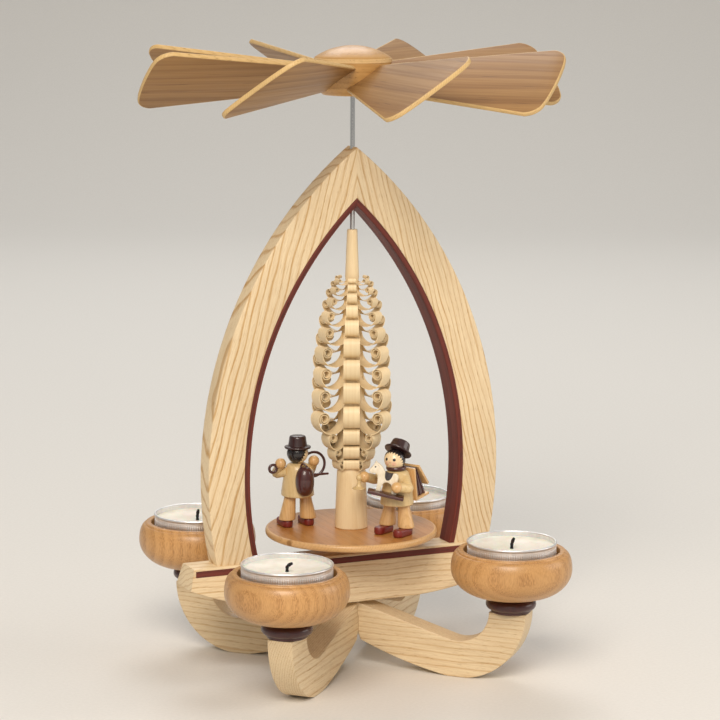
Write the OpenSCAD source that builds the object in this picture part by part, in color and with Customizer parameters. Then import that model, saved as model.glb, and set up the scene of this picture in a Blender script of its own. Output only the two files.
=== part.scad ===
// Christmas pyramid: four tealights turn a bladed rotor that carries a shaved tree and two figures.
// Frame: millimetres, +Z up, X along the arch, origin on the table under the spindle.

/* [Cross base] */
// Thickness of each of the two crossing boards
board_t = 11; // [8:0.5:14]
// Distance from the spindle to the middle of a cup
arm_reach = 73.2; // [68:0.2:84]
// Outer radius of the hooked end of a board
hook_outer_r = 30.3; // [28:0.1:34]
// Radius of the throat inside the hook
hook_throat_r = 14; // [11:0.5:15]
// How deep the round foot is planed flat where it stands
foot_flat_depth = 0.3; // [0.1:0.1:1]
// Radius of the long curve under a board
under_r = 180; // [150:5:240]
// Slope of the underside where it runs into the foot
under_slope = 10.6; // [8:0.2:14]
// Drop of the upper edge below the seat of the bar
arm_drop = 1.4; // [0.5:0.1:3]

/* [Base bar] */
// Length of the bar along its top
bar_len = 151; // [140:1:170]
// Height of the bar at its middle
bar_h = 20.3; // [17:0.1:24]
// Height of the bar at its ends
bar_end_h = 9; // [7:0.5:12]
// Depth of the bar along its top
bar_top_w = 13.5; // [12:0.5:18]
// Lean of the sides and ends, wider at the bottom
bar_batter = 13; // [5:1:16]
// Length of the flat underside
bar_flat = 40; // [30:1:60]
// Height of the dark strip
strip_h = 2.6; // [1.5:0.1:4]
// Depth of the dark strip in the wood
strip_depth = 2; // [1:0.1:3]
// Lip of the bar above the strip
strip_lip = 1; // [0.6:0.1:2]
// Wood left between the strip and the end of the bar
strip_stop = 0.8; // [0.5:0.1:3]

/* [Arch] */
// Radius of the outer edge
arch_r = 178.5; // [170:0.5:190]
// Half of the greatest width
arch_half_w = 68; // [64:0.5:72]
// Rise of the peak above the top of the tree
crown_gap = 35.4; // [30:0.1:42]
// Width of the ash band
arch_band = 16.5; // [12:0.5:20]
// Depth of the arch, front to back
arch_t = 10.2; // [8:0.2:13]
// Thickness of the dark liner
liner_t = 2.3; // [1.5:0.1:4]
// Diameter of the dowels under the arch
arch_dowel_d = 6; // [4:0.5:7]
// Length of the dowels under the arch
arch_dowel_len = 22; // [14:1:24]

/* [Cups] */
// Height of the collar under a cup
collar_h = 7.2; // [5:0.1:8]
// Diameter of the collar
collar_d = 21.6; // [18:0.2:24]
// Height of a cup
cup_h = 20; // [18:0.5:26]
// Greatest diameter of a cup
cup_d = 51.8; // [50:0.2:56]
// Diameter of the rim of a cup
cup_rim_d = 46.4; // [45:0.2:48]
// Diameter of the foot of a cup
cup_foot_d = 22; // [18:0.5:26]
// Diameter of the well
well_d = 41; // [39.5:0.1:42]
// Depth of the well
well_depth = 12.7; // [10:0.1:15]
// Diameter of the dowel in a cup
cup_dowel_d = 5; // [4:0.5:6]
// Length of the dowel in a cup
cup_dowel_len = 22; // [17:0.5:23]

/* [Tealights] */
// Diameter of a tealight
light_d = 38; // [36:0.5:39]
// Height of a tealight
light_h = 16; // [13:0.5:20]
// Wall of the aluminium shell
shell_wall = 0.5; // [0.3:0.1:1]
// Height of the wax at the wick
wax_h = 12; // [10:0.2:13]
// Rise of the wax from the wick to the shell
wax_rise = 1.6; // [0.6:0.1:2.4]
// Diameter of a wick
wick_d = 1.4; // [1:0.1:2]
// Height of a wick above the wax
wick_h = 5.2; // [3:0.2:6]
// Depth of a wick in the wax
wick_root = 6; // [3:0.5:8]

/* [Spindle] */
// Diameter of the spindle wire
spindle_d = 2; // [1.6:0.1:2.6]
// Running clearance of the spindle in its bush, on the radius
run_gap = 0.08; // [0.02:0.01:0.1]
// Diameter of the guide bush
bush_d = 5; // [4:0.2:6.5]
// Length of the guide bush
bush_len = 10; // [6:0.5:12]
// Diameter of the hole for the wire above the bush
wire_hole_d = 3.2; // [3:0.1:4]
// Diameter of the pivot cup
pivot_d = 8; // [6:0.5:10]
// Height of the pivot cup
pivot_h = 5; // [4:0.5:8]
// Depth of the hollow in the pivot cup
pivot_hollow = 2; // [1:0.1:3]
// Depth of the wire in the tree and in the hub
wire_grip = 14; // [8:1:15]

/* [Rotor] */
// Height of the hub, without its dome
hub_body_h = 15.6; // [15:0.1:18]
// Diameter of the hub
hub_d = 33; // [30:0.5:36]
// Height of the dome on the hub
hub_dome_h = 5.2; // [3:0.2:8]
// Height of the rim band of the hub
hub_band_h = 1.8; // [1:0.1:2]
// Gap between the arch and the hub
hub_lift = 22; // [19:0.5:40]
// Number of blades
blade_count = 8; // [8:1:8]
// Thickness of a blade
blade_t = 1.9; // [1.2:0.1:2.4]
// Pitch of the blades
blade_pitch = 34; // [29:0.5:36]
// Radius of the rotor at the middle of a blade's tip
blade_tip_r = 92; // [80:0.5:100]
// Distance from the spindle to the root of a blade
blade_root_r = 8.5; // [8:0.5:10]
// Width of a blade where it leaves the hub
blade_root_w = 18.6; // [16:0.2:19]
// Width of a blade at its tip
blade_tip_w = 43; // [38:0.5:48]
// Radius of the corners at the tip
blade_corner_r = 7.6; // [4:0.2:12]
// Radius of the curve of the tip
blade_tip_curve = 130; // [100:5:200]
// Turn of the first blade from the X axis
blade_phase = -3.6; // [-22:0.1:22]

/* [Turntable] */
// Diameter of the turntable
table_d = 74.6; // [70:0.2:80]
// Thickness of the turntable
table_t = 3; // [2:0.1:4]
// Gap between the bar and the turntable
table_lift = 7.5; // [5:0.1:10]

/* [Tree] */
// Height of the trunk
tree_h = 130; // [125:1:134]
// Diameter of the trunk at the bottom
trunk_d = 14.4; // [12:0.2:16]
// Diameter of the trunk at the top
trunk_top_d = 4.4; // [4:0.2:6]
// Height of the lowest curl above the turntable
curl_start = 26.2; // [24:0.1:30]
// Reach of the widest curl from the spindle
curl_reach = 18.3; // [16.5:0.1:19.5]
// Reach of the top curl from the spindle
curl_top_reach = 7.8; // [7.2:0.1:8.6]
// Reach of the lowest curl from the spindle
curl_low_reach = 7.8; // [7.6:0.1:9]
// Width of the strips at the bottom
strip_w = 7; // [5:0.1:7.2]
// Width of the strips at the top
strip_top_w = 2.8; // [2.4:0.1:5]
// Thickness of a shaving
shaving_t = 0.6; // [0.4:0.05:0.8]
// Turn of the first column of curls from the X axis
curl_phase = -114; // [-120:1:-60]
// Rise of every second column of curls at mid height, and drop of the columns between
curl_stagger = 2.3; // [0:0.1:3]

/* [Figures] */
// Distance of the toy seller from the spindle
seller_r = 23.4; // [23:0.1:25]
// Place of the toy seller around the spindle
seller_at = -57; // [-70:1:-40]
// Turn of the toy seller out of the walking direction
seller_turn = -3; // [-20:1:10]
// Distance of the pedlar from the spindle
pedlar_r = 23.3; // [22:0.1:24]
// Place of the pedlar around the spindle
pedlar_at = 154; // [140:1:165]
// Turn of the pedlar out of the walking direction
pedlar_turn = 26; // [0:1:30]
// Height of a shoe
shoe_h = 3.3; // [2.4:0.1:3.8]
// Height of the seller's legs
leg_h = 9.7; // [8.4:0.1:10.4]
// Height of the pedlar's legs
pedlar_leg_h = 10.4; // [9:0.1:11.4]
// Height of the shoulders above the turntable
shoulder_z = 28; // [26.6:0.1:29]
// Radius of the hem of a coat
coat_r = 7.2; // [6.5:0.1:7.5]
// Radius of a head
head_r = 4.5; // [4:0.1:4.8]
// Radius of a hand
hand_r = 2.4; // [2:0.1:2.6]
// Radius of a sleeve
sleeve_r = 2.2; // [1.8:0.1:2.3]

/* [Hidden] */
$fn = 64;
CUPS = 4;
TIERS = 12;
COLUMNS = 6;
// Clearance between pieces that are glued or pushed together
fit = 0.02;
// Air under a tealight that lifts out of its well
seat_gap = 0.2;
// Length that carries a cut clear through its piece
over = 40;
eps = 0.01;

// Cross base
hook_u = arm_reach - (hook_outer_r + hook_throat_r) / 2;
hook_z = hook_outer_r - foot_flat_depth;
board_top = hook_z;
under_u = hook_u + (under_r - hook_outer_r) * sin(under_slope);
under_z = hook_z + (under_r - hook_outer_r) * cos(under_slope);
join_u = hook_u - hook_outer_r * sin(under_slope);
throat_turn = 15;
throat_u = hook_u - hook_throat_r * sin(throat_turn);
throat_z = hook_z - hook_throat_r * cos(throat_turn);
mid_bottom = under_z - sqrt(pow(under_r, 2) - pow(under_u, 2));
lap_z = (mid_bottom + board_top) / 2;

// Base bar
bar_bottom = board_top;
bar_top = bar_bottom + bar_h;
bar_low_len = bar_len + 2 * bar_h * tan(bar_batter);
bar_low_w = bar_top_w + 2 * bar_h * tan(bar_batter);
bar_end_x = bar_len / 2 + bar_end_h * tan(bar_batter);
bar_rise = bar_h - bar_end_h;
bar_run = bar_end_x - bar_flat / 2;
bar_under_r = (pow(bar_run, 2) + pow(bar_rise, 2)) / (2 * bar_rise);
screw_d = 4;
screw_head_d = 8;
screw_head_h = 2.6;
screw_in_bar = bar_h / 2;
screw_z = mid_bottom + 1;
screw_slot = 1;

// Heights of the turntable and the tree
table_z = bar_top + table_lift;
table_top = table_z + table_t;
tree_z = table_top;
tree_top = tree_z + tree_h;

// Arch: its peak stays clear of the tree, and its greatest width lies below the peak
arch_cx = arch_r - arch_half_w;
arch_apex = tree_top + crown_gap;
arch_cz = arch_apex - sqrt(pow(arch_r, 2) - pow(arch_cx, 2));
arch_waist = arch_cz - bar_top;
arch_in_r = arch_r - arch_band;
liner_in_r = arch_in_r - liner_t;
arch_in_apex = arch_cz + sqrt(pow(arch_in_r, 2) - pow(arch_cx, 2));
leg_mid_x = sqrt(pow((arch_r + arch_in_r) / 2, 2) - pow(arch_waist, 2)) - arch_cx;
bush_z = arch_in_apex + 1;

// Cups and tealights
collar_z = board_top;
cup_z = collar_z + collar_h;
cup_rim_z = cup_z + cup_h;
well_z = cup_rim_z - well_depth;
cup_belly_h = cup_h * 0.6;
rim_round = (cup_rim_d - well_d) / 6;
light_z = well_z + seat_gap;
lip_r = 0.5;
wax_gap = 0.05;
wax_d = light_d - 2 * shell_wall - 2 * wax_gap;
wax_z = light_z + shell_wall + wax_gap;
wax_top = wax_z + wax_h;
wax_dish_r = (pow(wax_d / 2, 2) + pow(wax_rise, 2)) / (2 * wax_rise);

// Rotor
hub_z = arch_apex + hub_lift;
hub_band_z = hub_z + hub_body_h - hub_band_h;
hub_top = hub_z + hub_body_h;
blade_z = hub_z + (hub_body_h - hub_band_h) / 2 + 0.4;
hub_dome_r = (pow(hub_d / 2, 2) + pow(hub_dome_h, 2)) / (2 * hub_dome_h);
blade_grow = (blade_tip_w - blade_root_w) / (blade_tip_r - hub_d / 2);
needle_grip = 10;
needle_tip_z = bar_top + 0.5 - pivot_hollow + 0.15;

// Tree: reach and height of each tier of curls, counted from the top
FULL_TIERS = 9;
LOW_TIERS = TIERS - FULL_TIERS;
function tier_reach(i) = i < FULL_TIERS
  ? curl_top_reach + (curl_reach - curl_top_reach) * sin(90 * i / (FULL_TIERS - 1))
  : curl_reach - (curl_reach - curl_low_reach) * pow((i - FULL_TIERS + 1) / LOW_TIERS, 0.65);
function tier_h(i) = (i < FULL_TIERS ? 0.38 + 0.17 * min(i / 5, 1) : 0.57) * tier_reach(i);
function tiers_below(i) = i >= TIERS - 1 ? 0 : tier_h(i + 1) + tiers_below(i + 1);
function tier_z(i) = tree_z + curl_start + tiers_below(i);
function tier_shift(i) = curl_stagger * sin(180 * (i + 0.5) / TIERS);
curl_top = tier_z(0) + tier_h(0);
strip_taper_z = curl_top - 0.22 * tree_h;
// Depth of a shaving's root in the trunk
root_depth = 1;
function trunk_r(z) = (trunk_d + (trunk_top_d - trunk_d) * (z - tree_z) / tree_h) / 2;

// Figures
coat_z = shoe_h + leg_h;
pedlar_coat_z = shoe_h + pedlar_leg_h;
head_z = shoulder_z + head_r - 0.2;
leg_gap = 5;
leg_r = 3.6;
leg_top_r = 2.5;
coat_top_r = 3;
shoe_l = 11;
shoe_w = 4.7;
shoe_front = 2.6;
tray_t = 1.3;
tray_w = 6.4;
tray_len = 15.7;
tray_right = 10.7;

// Points of an arc from angle a0 to a1
function arc(c, r, a0, a1, steps) =
  [for (k = [0:steps]) let (a = a0 + (a1 - a0) * k / steps) c + r * [cos(a), sin(a)]];

// Turn of cup i around the spindle
function cup_turn(i) = 90 * i - 45;

module at_cup(i) { rotate(cup_turn(i)) translate([arm_reach, 0, 0]) children(); }

module at_cups() { for (i = [1:CUPS]) at_cup(i) children(); }

// Extrudes an outline of X and Z along Y, centred
module upright(depth) { rotate([90, 0, 0]) linear_extrude(depth, center = true) children(); }

// Rod between two points
module rod(a, b, r) {
  d = b - a;
  translate(a)
    rotate([0, acos(d[2] / norm(d)), atan2(d[1], d[0])])
      cylinder(r = r, h = norm(d));
}

// Cross base

module arm_outline() {
  difference() {
    union() {
      intersection() {
        translate([under_u, under_z]) circle(under_r, $fn = 256);
        translate([-eps, -over]) square([join_u + eps, over + board_top]);
      }
      intersection() {
        translate([hook_u, hook_z]) circle(hook_outer_r, $fn = 128);
        translate([join_u, -over]) square([arm_reach, over + board_top]);
      }
    }
    translate([hook_u, hook_z]) circle(hook_throat_r);
    polygon([[board_t / 2, board_top - arm_drop], [throat_u, throat_z], [hook_u, hook_z],
             [hook_u, board_top + over], [board_t / 2, board_top + over]]);
    translate([-eps, -over]) square([2 * arm_reach, over]);
  }
}

module board(turn) {
  rotate(turn) difference() {
    union() {
      upright(board_t) arm_outline();
      rotate(180) upright(board_t) arm_outline();
    }
    for (s = [-1, 1])
      translate([s * arm_reach, 0, board_top - dowel_in_post()])
        cylinder(d = cup_dowel_d + 2 * fit, h = over);
    translate([0, 0, -over]) cylinder(d = screw_d + 2 * fit, h = 3 * over);
  }
}

function dowel_in_post() = cup_dowel_len - collar_h - 4;

module lap_block(z) {
  translate([-over, -board_t / 2 - fit, z]) cube([2 * over, board_t + 2 * fit, over]);
}

module cross_board_a() color("burlywood") difference() {
  board(45);
  rotate(-45) lap_block(lap_z);
  translate([0, 0, -over]) cylinder(d = screw_head_d + 2 * fit, h = over + screw_z + screw_head_h + fit);
}

module cross_board_b() color("burlywood") difference() {
  board(-45);
  rotate(45) lap_block(lap_z - over);
}

// Base bar

module bar_outline() {
  half_low = bar_low_len / 2;
  intersection() {
    polygon([[-half_low, bar_bottom], [half_low, bar_bottom],
             [bar_len / 2, bar_top], [-bar_len / 2, bar_top]]);
    union() {
      translate([-bar_flat / 2, bar_bottom]) square([bar_flat, bar_h]);
      for (s = [0, 1]) mirror([s, 0]) intersection() {
        translate([bar_flat / 2, bar_bottom + bar_under_r]) circle(bar_under_r, $fn = 256);
        translate([bar_flat / 2, bar_bottom]) square([half_low, bar_h]);
      }
    }
  }
}

module bar_body() {
  intersection() {
    upright(2 * over) bar_outline();
    rotate([90, 0, 90]) linear_extrude(2 * bar_low_len, center = true)
      polygon([[-bar_low_w / 2, bar_bottom], [bar_low_w / 2, bar_bottom],
               [bar_top_w / 2, bar_top], [-bar_top_w / 2, bar_top]]);
  }
}

// Room of the strips along the long faces of the bar
module strip_rooms() {
  face = bar_top_w / 2 + strip_lip * tan(bar_batter);
  len = bar_len - 2 * strip_stop;
  for (s = [0, 1]) mirror([0, s, 0])
    translate([-len / 2, face - strip_depth, bar_top - strip_lip - strip_h])
      cube([len, over, strip_h]);
}

module base_bar() color("burlywood") difference() {
  bar_body();
  strip_rooms();
  for (s = [-1, 1])
    translate([s * leg_mid_x, 0, bar_top - arch_dowel_len / 2])
      cylinder(d = arch_dowel_d + 2 * fit, h = over);
  translate([0, 0, bar_top + 0.5 - pivot_h]) cylinder(d = pivot_d + 2 * fit, h = over);
  translate([0, 0, bar_bottom - eps]) cylinder(d = screw_d + 2 * fit, h = screw_in_bar);
}

module bar_strips() color("darkred") intersection() {
  bar_body();
  strip_rooms();
}

module base_screw() color("silver") difference() {
  union() {
    translate([0, 0, screw_z]) cylinder(d = screw_head_d, h = screw_head_h);
    translate([0, 0, screw_z]) cylinder(d = screw_d, h = board_top + screw_in_bar - 1 - screw_z);
  }
  translate([-screw_head_d, -screw_slot / 2, screw_z - eps])
    cube([2 * screw_head_d, screw_slot, screw_slot]);
}

// Arch

// Right half of a pointed band between two radii
module arch_half(outer, inner) {
  upright(arch_t) intersection() {
    difference() {
      translate([-arch_cx, arch_cz]) circle(outer, $fn = 256);
      translate([-arch_cx, arch_cz]) circle(inner, $fn = 256);
    }
    translate([0, bar_top]) square([arch_half_w + over, arch_apex]);
  }
}

module arch_holes() {
  translate([0, 0, bar_top]) cylinder(d = wire_hole_d, h = arch_apex);
  translate([0, 0, bush_z]) cylinder(d = bush_d + 2 * fit, h = bush_len);
}

module arch_side() {
  difference() {
    arch_half(arch_r, arch_in_r);
    arch_holes();
    translate([leg_mid_x, 0, bar_top - over])
      cylinder(d = arch_dowel_d + 2 * fit, h = over + arch_dowel_len / 2);
  }
}

module liner_side() {
  difference() {
    arch_half(arch_in_r, liner_in_r);
    arch_holes();
  }
}

module arch_left() color("burlywood") mirror([1, 0, 0]) arch_side();

module arch_right() color("burlywood") arch_side();

module liner_left() color("darkred") mirror([1, 0, 0]) liner_side();

module liner_right() color("darkred") liner_side();

module arch_dowels() color("tan") for (s = [-1, 1])
  translate([s * leg_mid_x, 0, bar_top - arch_dowel_len / 2])
    cylinder(d = arch_dowel_d, h = arch_dowel_len);

// Bearings

module guide_bush() color("goldenrod") difference() {
  translate([0, 0, bush_z]) cylinder(d = bush_d, h = bush_len);
  translate([0, 0, bush_z - over]) cylinder(d = spindle_d + 2 * run_gap, h = 3 * over);
}

module pivot_cup() color("lightblue") translate([0, 0, bar_top + 0.5]) rotate_extrude()
  polygon([[0, -pivot_h], [pivot_d / 2, -pivot_h], [pivot_d / 2, 0],
           [spindle_d / 2 + pivot_hollow * 0.6, 0], [0, -pivot_hollow]]);

// Cups

module cup_collars() color("maroon") at_cups() translate([0, 0, collar_z]) difference() {
  bulge = collar_h * 0.32;
  rotate_extrude() {
    square([collar_d / 2 - bulge, collar_h]);
    translate([collar_d / 2 - bulge, collar_h / 2 - bulge]) square([bulge * 0.6, 2 * bulge]);
    translate([collar_d / 2 - bulge, collar_h / 2]) intersection() {
      circle(bulge);
      translate([bulge * 0.6, -bulge]) square(2 * bulge);
    }
  }
  translate([0, 0, -eps]) cylinder(d = cup_dowel_d + 2 * fit, h = over);
}

// Half section of a turned cup
function cup_section() = concat(
  [[0, 0], [cup_foot_d / 2, 0]],
  belly(cup_foot_d / 2, 0, cup_belly_h, 10),
  belly(cup_rim_d / 2, cup_h - rim_round, cup_belly_h, 8, true),
  arc([cup_rim_d / 2 - rim_round, cup_h - rim_round], rim_round, 0, 90, 4),
  [[well_d / 2, cup_h], [well_d / 2, cup_h - well_depth], [0, cup_h - well_depth]]);

// Quarter of an ellipse between an end radius and the belly
function belly(end_r, end_h, mid_h, steps, down = false) =
  [for (k = [1:steps - 1]) let (q = 90 * (down ? steps - k : k) / steps)
    [end_r + (cup_d / 2 - end_r) * sin(q), mid_h + (end_h - mid_h) * cos(q)]];

module cup() {
  translate([0, 0, cup_z]) difference() {
    rotate_extrude() polygon(cup_section());
    translate([0, 0, -eps]) cylinder(d = cup_dowel_d + 2 * fit, h = 4 + eps);
  }
}

module cup_dowels() color("tan") at_cups()
  translate([0, 0, board_top - dowel_in_post()]) cylinder(d = cup_dowel_d, h = cup_dowel_len);

// Tealights

module tealight_shell() {
  translate([0, 0, light_z]) {
    rotate_extrude() polygon([
      [0, 0], [light_d / 2, 0], [light_d / 2, light_h], [light_d / 2 - shell_wall, light_h],
      [light_d / 2 - shell_wall, shell_wall], [0, shell_wall]]);
    translate([0, 0, light_h - lip_r * 0.4]) rotate_extrude()
      translate([light_d / 2 - shell_wall / 2, 0]) circle(lip_r);
  }
}

module tealight_wax() {
  difference() {
    translate([0, 0, wax_z]) cylinder(d = wax_d, h = wax_h + wax_rise * 0.94);
    translate([0, 0, wax_top + wax_dish_r]) sphere(wax_dish_r);
    translate([0, 0, wax_top - wick_root]) cylinder(d = wick_d + 2 * fit, h = over);
  }
}

// Lean of the four wicks, all to one side
wick_leans = [18, 12, 62, 24];
wick_side = -24;

module tealight_wick(i) {
  translate([0, 0, wax_top - wick_root]) cylinder(d = wick_d, h = wick_root + wick_h * 0.55);
  translate([0, 0, wax_top + wick_h * 0.5]) rotate(wick_side - cup_turn(i)) rotate([0, wick_leans[i - 1], 0])
    cylinder(d = wick_d * 0.86, h = wick_h * 0.5);
}

// Rotor

module pivot_needle() color("silver") {
  translate([0, 0, needle_tip_z]) cylinder(r1 = 0.15, r2 = spindle_d / 2, h = spindle_d * 1.4);
  translate([0, 0, needle_tip_z + spindle_d * 1.4])
    cylinder(d = spindle_d, h = tree_z + needle_grip - needle_tip_z - spindle_d * 1.4);
}

module spindle() color("silver")
  translate([0, 0, tree_top - wire_grip])
    cylinder(d = spindle_d, h = hub_z + wire_grip - (tree_top - wire_grip));

// Flat outline of a blade along X, with a curved tip and round corners
module blade_outline(root) {
  tip = blade_tip_w / 2;
  corner = [blade_tip_r - blade_corner_r - 1, tip - blade_corner_r];
  root_half = (blade_root_w - (hub_d / 2 - root) * blade_grow) / 2;
  half_tip = asin((tip - blade_corner_r) / blade_tip_curve);
  tip_c = [blade_tip_r - blade_tip_curve, 0];
  polygon(concat(
    [[root, root_half], [root, -root_half]],
    arc([corner[0], -corner[1]], blade_corner_r, -90 + 6, -half_tip, 8),
    arc(tip_c, blade_tip_curve, -half_tip, half_tip, 6),
    arc(corner, blade_corner_r, half_tip, 90 - 6, 8)));
}

module at_blade(i) {
  translate([0, 0, blade_z]) rotate(blade_phase + 360 / blade_count * (i - 1)) rotate([blade_pitch, 0, 0])
    children();
}

module blade() {
  linear_extrude(blade_t, center = true) blade_outline(blade_root_r);
}

module hub() color("peru") difference() {
  union() {
    translate([0, 0, hub_z]) rotate_extrude() polygon([
      [0, 0], [hub_d / 2 - 3.5, 0], [hub_d / 2 - 1, 3], [hub_d / 2, hub_body_h - hub_band_h],
      [hub_d / 2, hub_body_h], [0, hub_body_h]]);
    intersection() {
      translate([0, 0, hub_top + hub_dome_h - hub_dome_r]) sphere(hub_dome_r, $fn = 96);
      translate([0, 0, hub_top - eps]) cylinder(d = hub_d, h = hub_dome_h + 1);
    }
  }
  for (i = [1:blade_count]) at_blade(i)
    linear_extrude(blade_t + 2 * fit, center = true) blade_outline(blade_root_r - fit);
  translate([0, 0, hub_z - eps]) cylinder(d = spindle_d + 2 * fit, h = wire_grip + eps);
}

// Turntable and tree

module turntable() color("chocolate") translate([0, 0, table_z]) difference() {
  round_r = table_t * 0.4;
  rotate_extrude() polygon(concat([[0, 0]],
    arc([table_d / 2 - round_r, round_r], round_r, -90, 0, 4),
    arc([table_d / 2 - round_r, table_t - round_r], round_r, 0, 90, 4),
    [[0, table_t]]));
  translate([0, 0, -eps]) cylinder(d = spindle_d + 2 * fit, h = over);
}

// One curl: a strip that hangs out of the trunk in a bowl, turns up on the outside and rolls in at its top
module curl(i, side) {
  h = tier_h(i);
  z = tier_z(i) + side * tier_shift(i);
  reach = tier_reach(i);
  root = trunk_r(z) - root_depth;
  half = (reach - root) / 2;
  sag = min(h * 0.7, half);
  bowl_r = (half * half + sag * sag) / (2 * sag);
  coil_r = max(h * 0.28, shaving_t * 1.5);
  coil_z = min(max(sag, h - coil_r), sag + coil_r * 0.25);
  translate([root + half, z + bowl_r]) difference() {
    circle(bowl_r, $fn = 48);
    circle(bowl_r - shaving_t, $fn = 48);
    translate([-2 * bowl_r, sag - bowl_r]) square(4 * bowl_r);
  }
  translate([reach - coil_r - shaving_t / 2, z + coil_z]) difference() {
    circle(coil_r, $fn = 32);
    circle(coil_r - shaving_t, $fn = 32);
  }
}

// All curls of one column, set higher for side 1 and lower for side -1
module curl_column(side) {
  intersection() {
    upright(strip_w) for (i = [0:TIERS - 1]) curl(i, side);
    rotate([90, 0, 90]) linear_extrude(4 * curl_reach, center = true)
      polygon([[-strip_w / 2, tree_z], [strip_w / 2, tree_z],
               [strip_w / 2, strip_taper_z], [strip_top_w / 2, curl_top + 2],
               [-strip_top_w / 2, curl_top + 2], [-strip_w / 2, strip_taper_z]]);
  }
}

module tree() color("wheat") difference() {
  union() {
    translate([0, 0, tree_z]) cylinder(d1 = trunk_d, d2 = trunk_top_d, h = tree_h);
    for (c = [0:COLUMNS - 1]) rotate(curl_phase + 360 / COLUMNS * c) curl_column(c % 2 == 0 ? 1 : -1);
  }
  translate([0, 0, tree_top - wire_grip]) cylinder(d = spindle_d + 2 * fit, h = over);
  translate([0, 0, tree_z - eps]) cylinder(d = spindle_d + 2 * fit, h = needle_grip + eps);
}

// Figures: each faces its own +X, with its left hand at +Y, and stands at z 0

module at_seller() {
  rotate(seller_at) translate([seller_r, 0, table_top]) rotate(seller_turn - 90) children();
}

module at_pedlar() {
  rotate(pedlar_at) translate([pedlar_r, 0, table_top]) rotate(pedlar_turn - 90) children();
}

module at_figures() {
  at_seller() children();
  at_pedlar() children();
}

module figure_shoes() color("darkred") at_figures() for (s = [-1, 1])
  translate([shoe_front, s * leg_gap, 0]) linear_extrude(shoe_h) polygon(concat(
    arc([shoe_l / 2 - shoe_w / 2, 0], shoe_w / 2, -90, 90, 8),
    arc([shoe_w / 2 - shoe_l / 2, 0], shoe_w / 2, 90, 270, 8)));

module legs(h) {
  for (s = [-1, 1]) translate([0, s * leg_gap, shoe_h]) rotate_extrude() polygon([
    [0, 0], [leg_r - 0.4, 0], [leg_r, 0.6], [leg_top_r, h], [0, h]]);
}

module figure_legs() color("sandybrown") {
  at_seller() legs(leg_h);
  at_pedlar() legs(pedlar_leg_h);
}

// Lean of each head out of the middle of its coat
seller_head = [0.8, -0.8, head_z];
pedlar_head = [0, 0, head_z];

module head() {
  difference() {
    sphere(head_r);
    translate([0, 0, shoulder_z - head_z - over]) cylinder(r = over, h = over + fit);
  }
}

module figure_heads() color("moccasin") {
  at_seller() translate(seller_head) head();
  at_pedlar() translate(pedlar_head) head();
}

// Shoulders, elbows and hands: first the left arm, then the right
sleeve_drop = 3.6;
shoulder_half = 4.4;
arm_z = shoulder_z - sleeve_drop;
shoulders = [[0, shoulder_half, arm_z], [0, -shoulder_half, arm_z]];
// The seller's left arm, bent to hold the tray
tray_elbow_x = 3.6;
tray_elbow_y = 8.2;
tray_elbow_drop = 3;
tray_hand_x = 9.2;
tray_hand_y = 6.3;
tray_hand_drop = 2;
// The seller's right arm, held out with the bell
bell_elbow_x = 4.6;
bell_elbow_y = 8.4;
bell_elbow_drop = 0.8;
bell_hand_x = 11;
bell_hand_y = 9.4;
bell_hand_rise = 1;
// The pedlar's arms, both folded up
pedlar_elbow_x = 4.4;
pedlar_elbow_drop = 1;
pedlar_arm_y = 7.8;
pedlar_hand_x = 0.4;
pedlar_hand_rise = 3.8;
seller_elbows = [[tray_elbow_x, tray_elbow_y, arm_z - tray_elbow_drop],
                 [bell_elbow_x, -bell_elbow_y, arm_z - bell_elbow_drop]];
seller_hands = [[tray_hand_x, tray_hand_y, arm_z - tray_hand_drop],
                [bell_hand_x, -bell_hand_y, arm_z + bell_hand_rise]];
pedlar_elbows = [for (s = [1, -1]) [pedlar_elbow_x, s * pedlar_arm_y, arm_z - pedlar_elbow_drop]];
pedlar_hands = [for (s = [1, -1]) [pedlar_hand_x, s * pedlar_arm_y, arm_z + pedlar_hand_rise]];

module hands(places) { for (p = places) translate(p) sphere(hand_r); }

module hands_room(places) { for (p = places) translate(p) sphere(hand_r + fit); }

module figure_hands() color("peru") {
  at_seller() hands(seller_hands);
  at_pedlar() hands(pedlar_hands);
}

// Both arms of a figure, larger by g
module arms(elbows, places, g = 0) {
  for (k = [0, 1]) {
    rod(shoulders[k], elbows[k], sleeve_r + g);
    translate(elbows[k]) sphere(sleeve_r * 1.06 + g);
    rod(elbows[k], places[k], sleeve_r * 0.9 + g);
  }
}

// Sleeves, cut to lie on the coat and the hands
module sleeves(elbows, places, hem_z) {
  difference() {
    arms(elbows, places);
    coat(hem_z, fit);
    hands_room(places);
  }
}

// Half section of a coat of height h, larger by g
function coat_section(h, g) = concat(
  [[0, -g], [coat_r + g, -g], [coat_r - 0.2 + g, h * 0.2], [coat_r - 1.3 + g, h * 0.68]],
  arc([coat_top_r, h - 2.4], 2.4 + g, 8, 90, 6),
  [[0, h + g]]);

module coat(hem_z, g = 0) {
  translate([0, 0, hem_z]) rotate_extrude() polygon(coat_section(shoulder_z - hem_z, g));
}

module seller_coat() color("tan") at_seller() coat(coat_z);

module pedlar_coat() color("tan") at_pedlar() coat(pedlar_coat_z);

module seller_sleeves() color("tan") at_seller() sleeves(seller_elbows, seller_hands, coat_z);

module pedlar_sleeves() color("tan") at_pedlar() sleeves(pedlar_elbows, pedlar_hands, pedlar_coat_z);

// Hat on a head, tilted back, its brim at a part of the head's radius
module hat(brim, crown, crown_h, tilt, seat) {
  rotate([0, -tilt, 0]) difference() {
    union() {
      translate([0, 0, head_r * seat]) cylinder(r = brim, h = 0.9);
      translate([0, 0, head_r * seat]) cylinder(r1 = crown, r2 = crown * 0.82, h = crown_h);
    }
    sphere(head_r + fit);
  }
}

module seller_hat() color("maroon") at_seller() translate(seller_head) hat(6.1, 4.6, 5.2, 37, 0.84);

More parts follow.
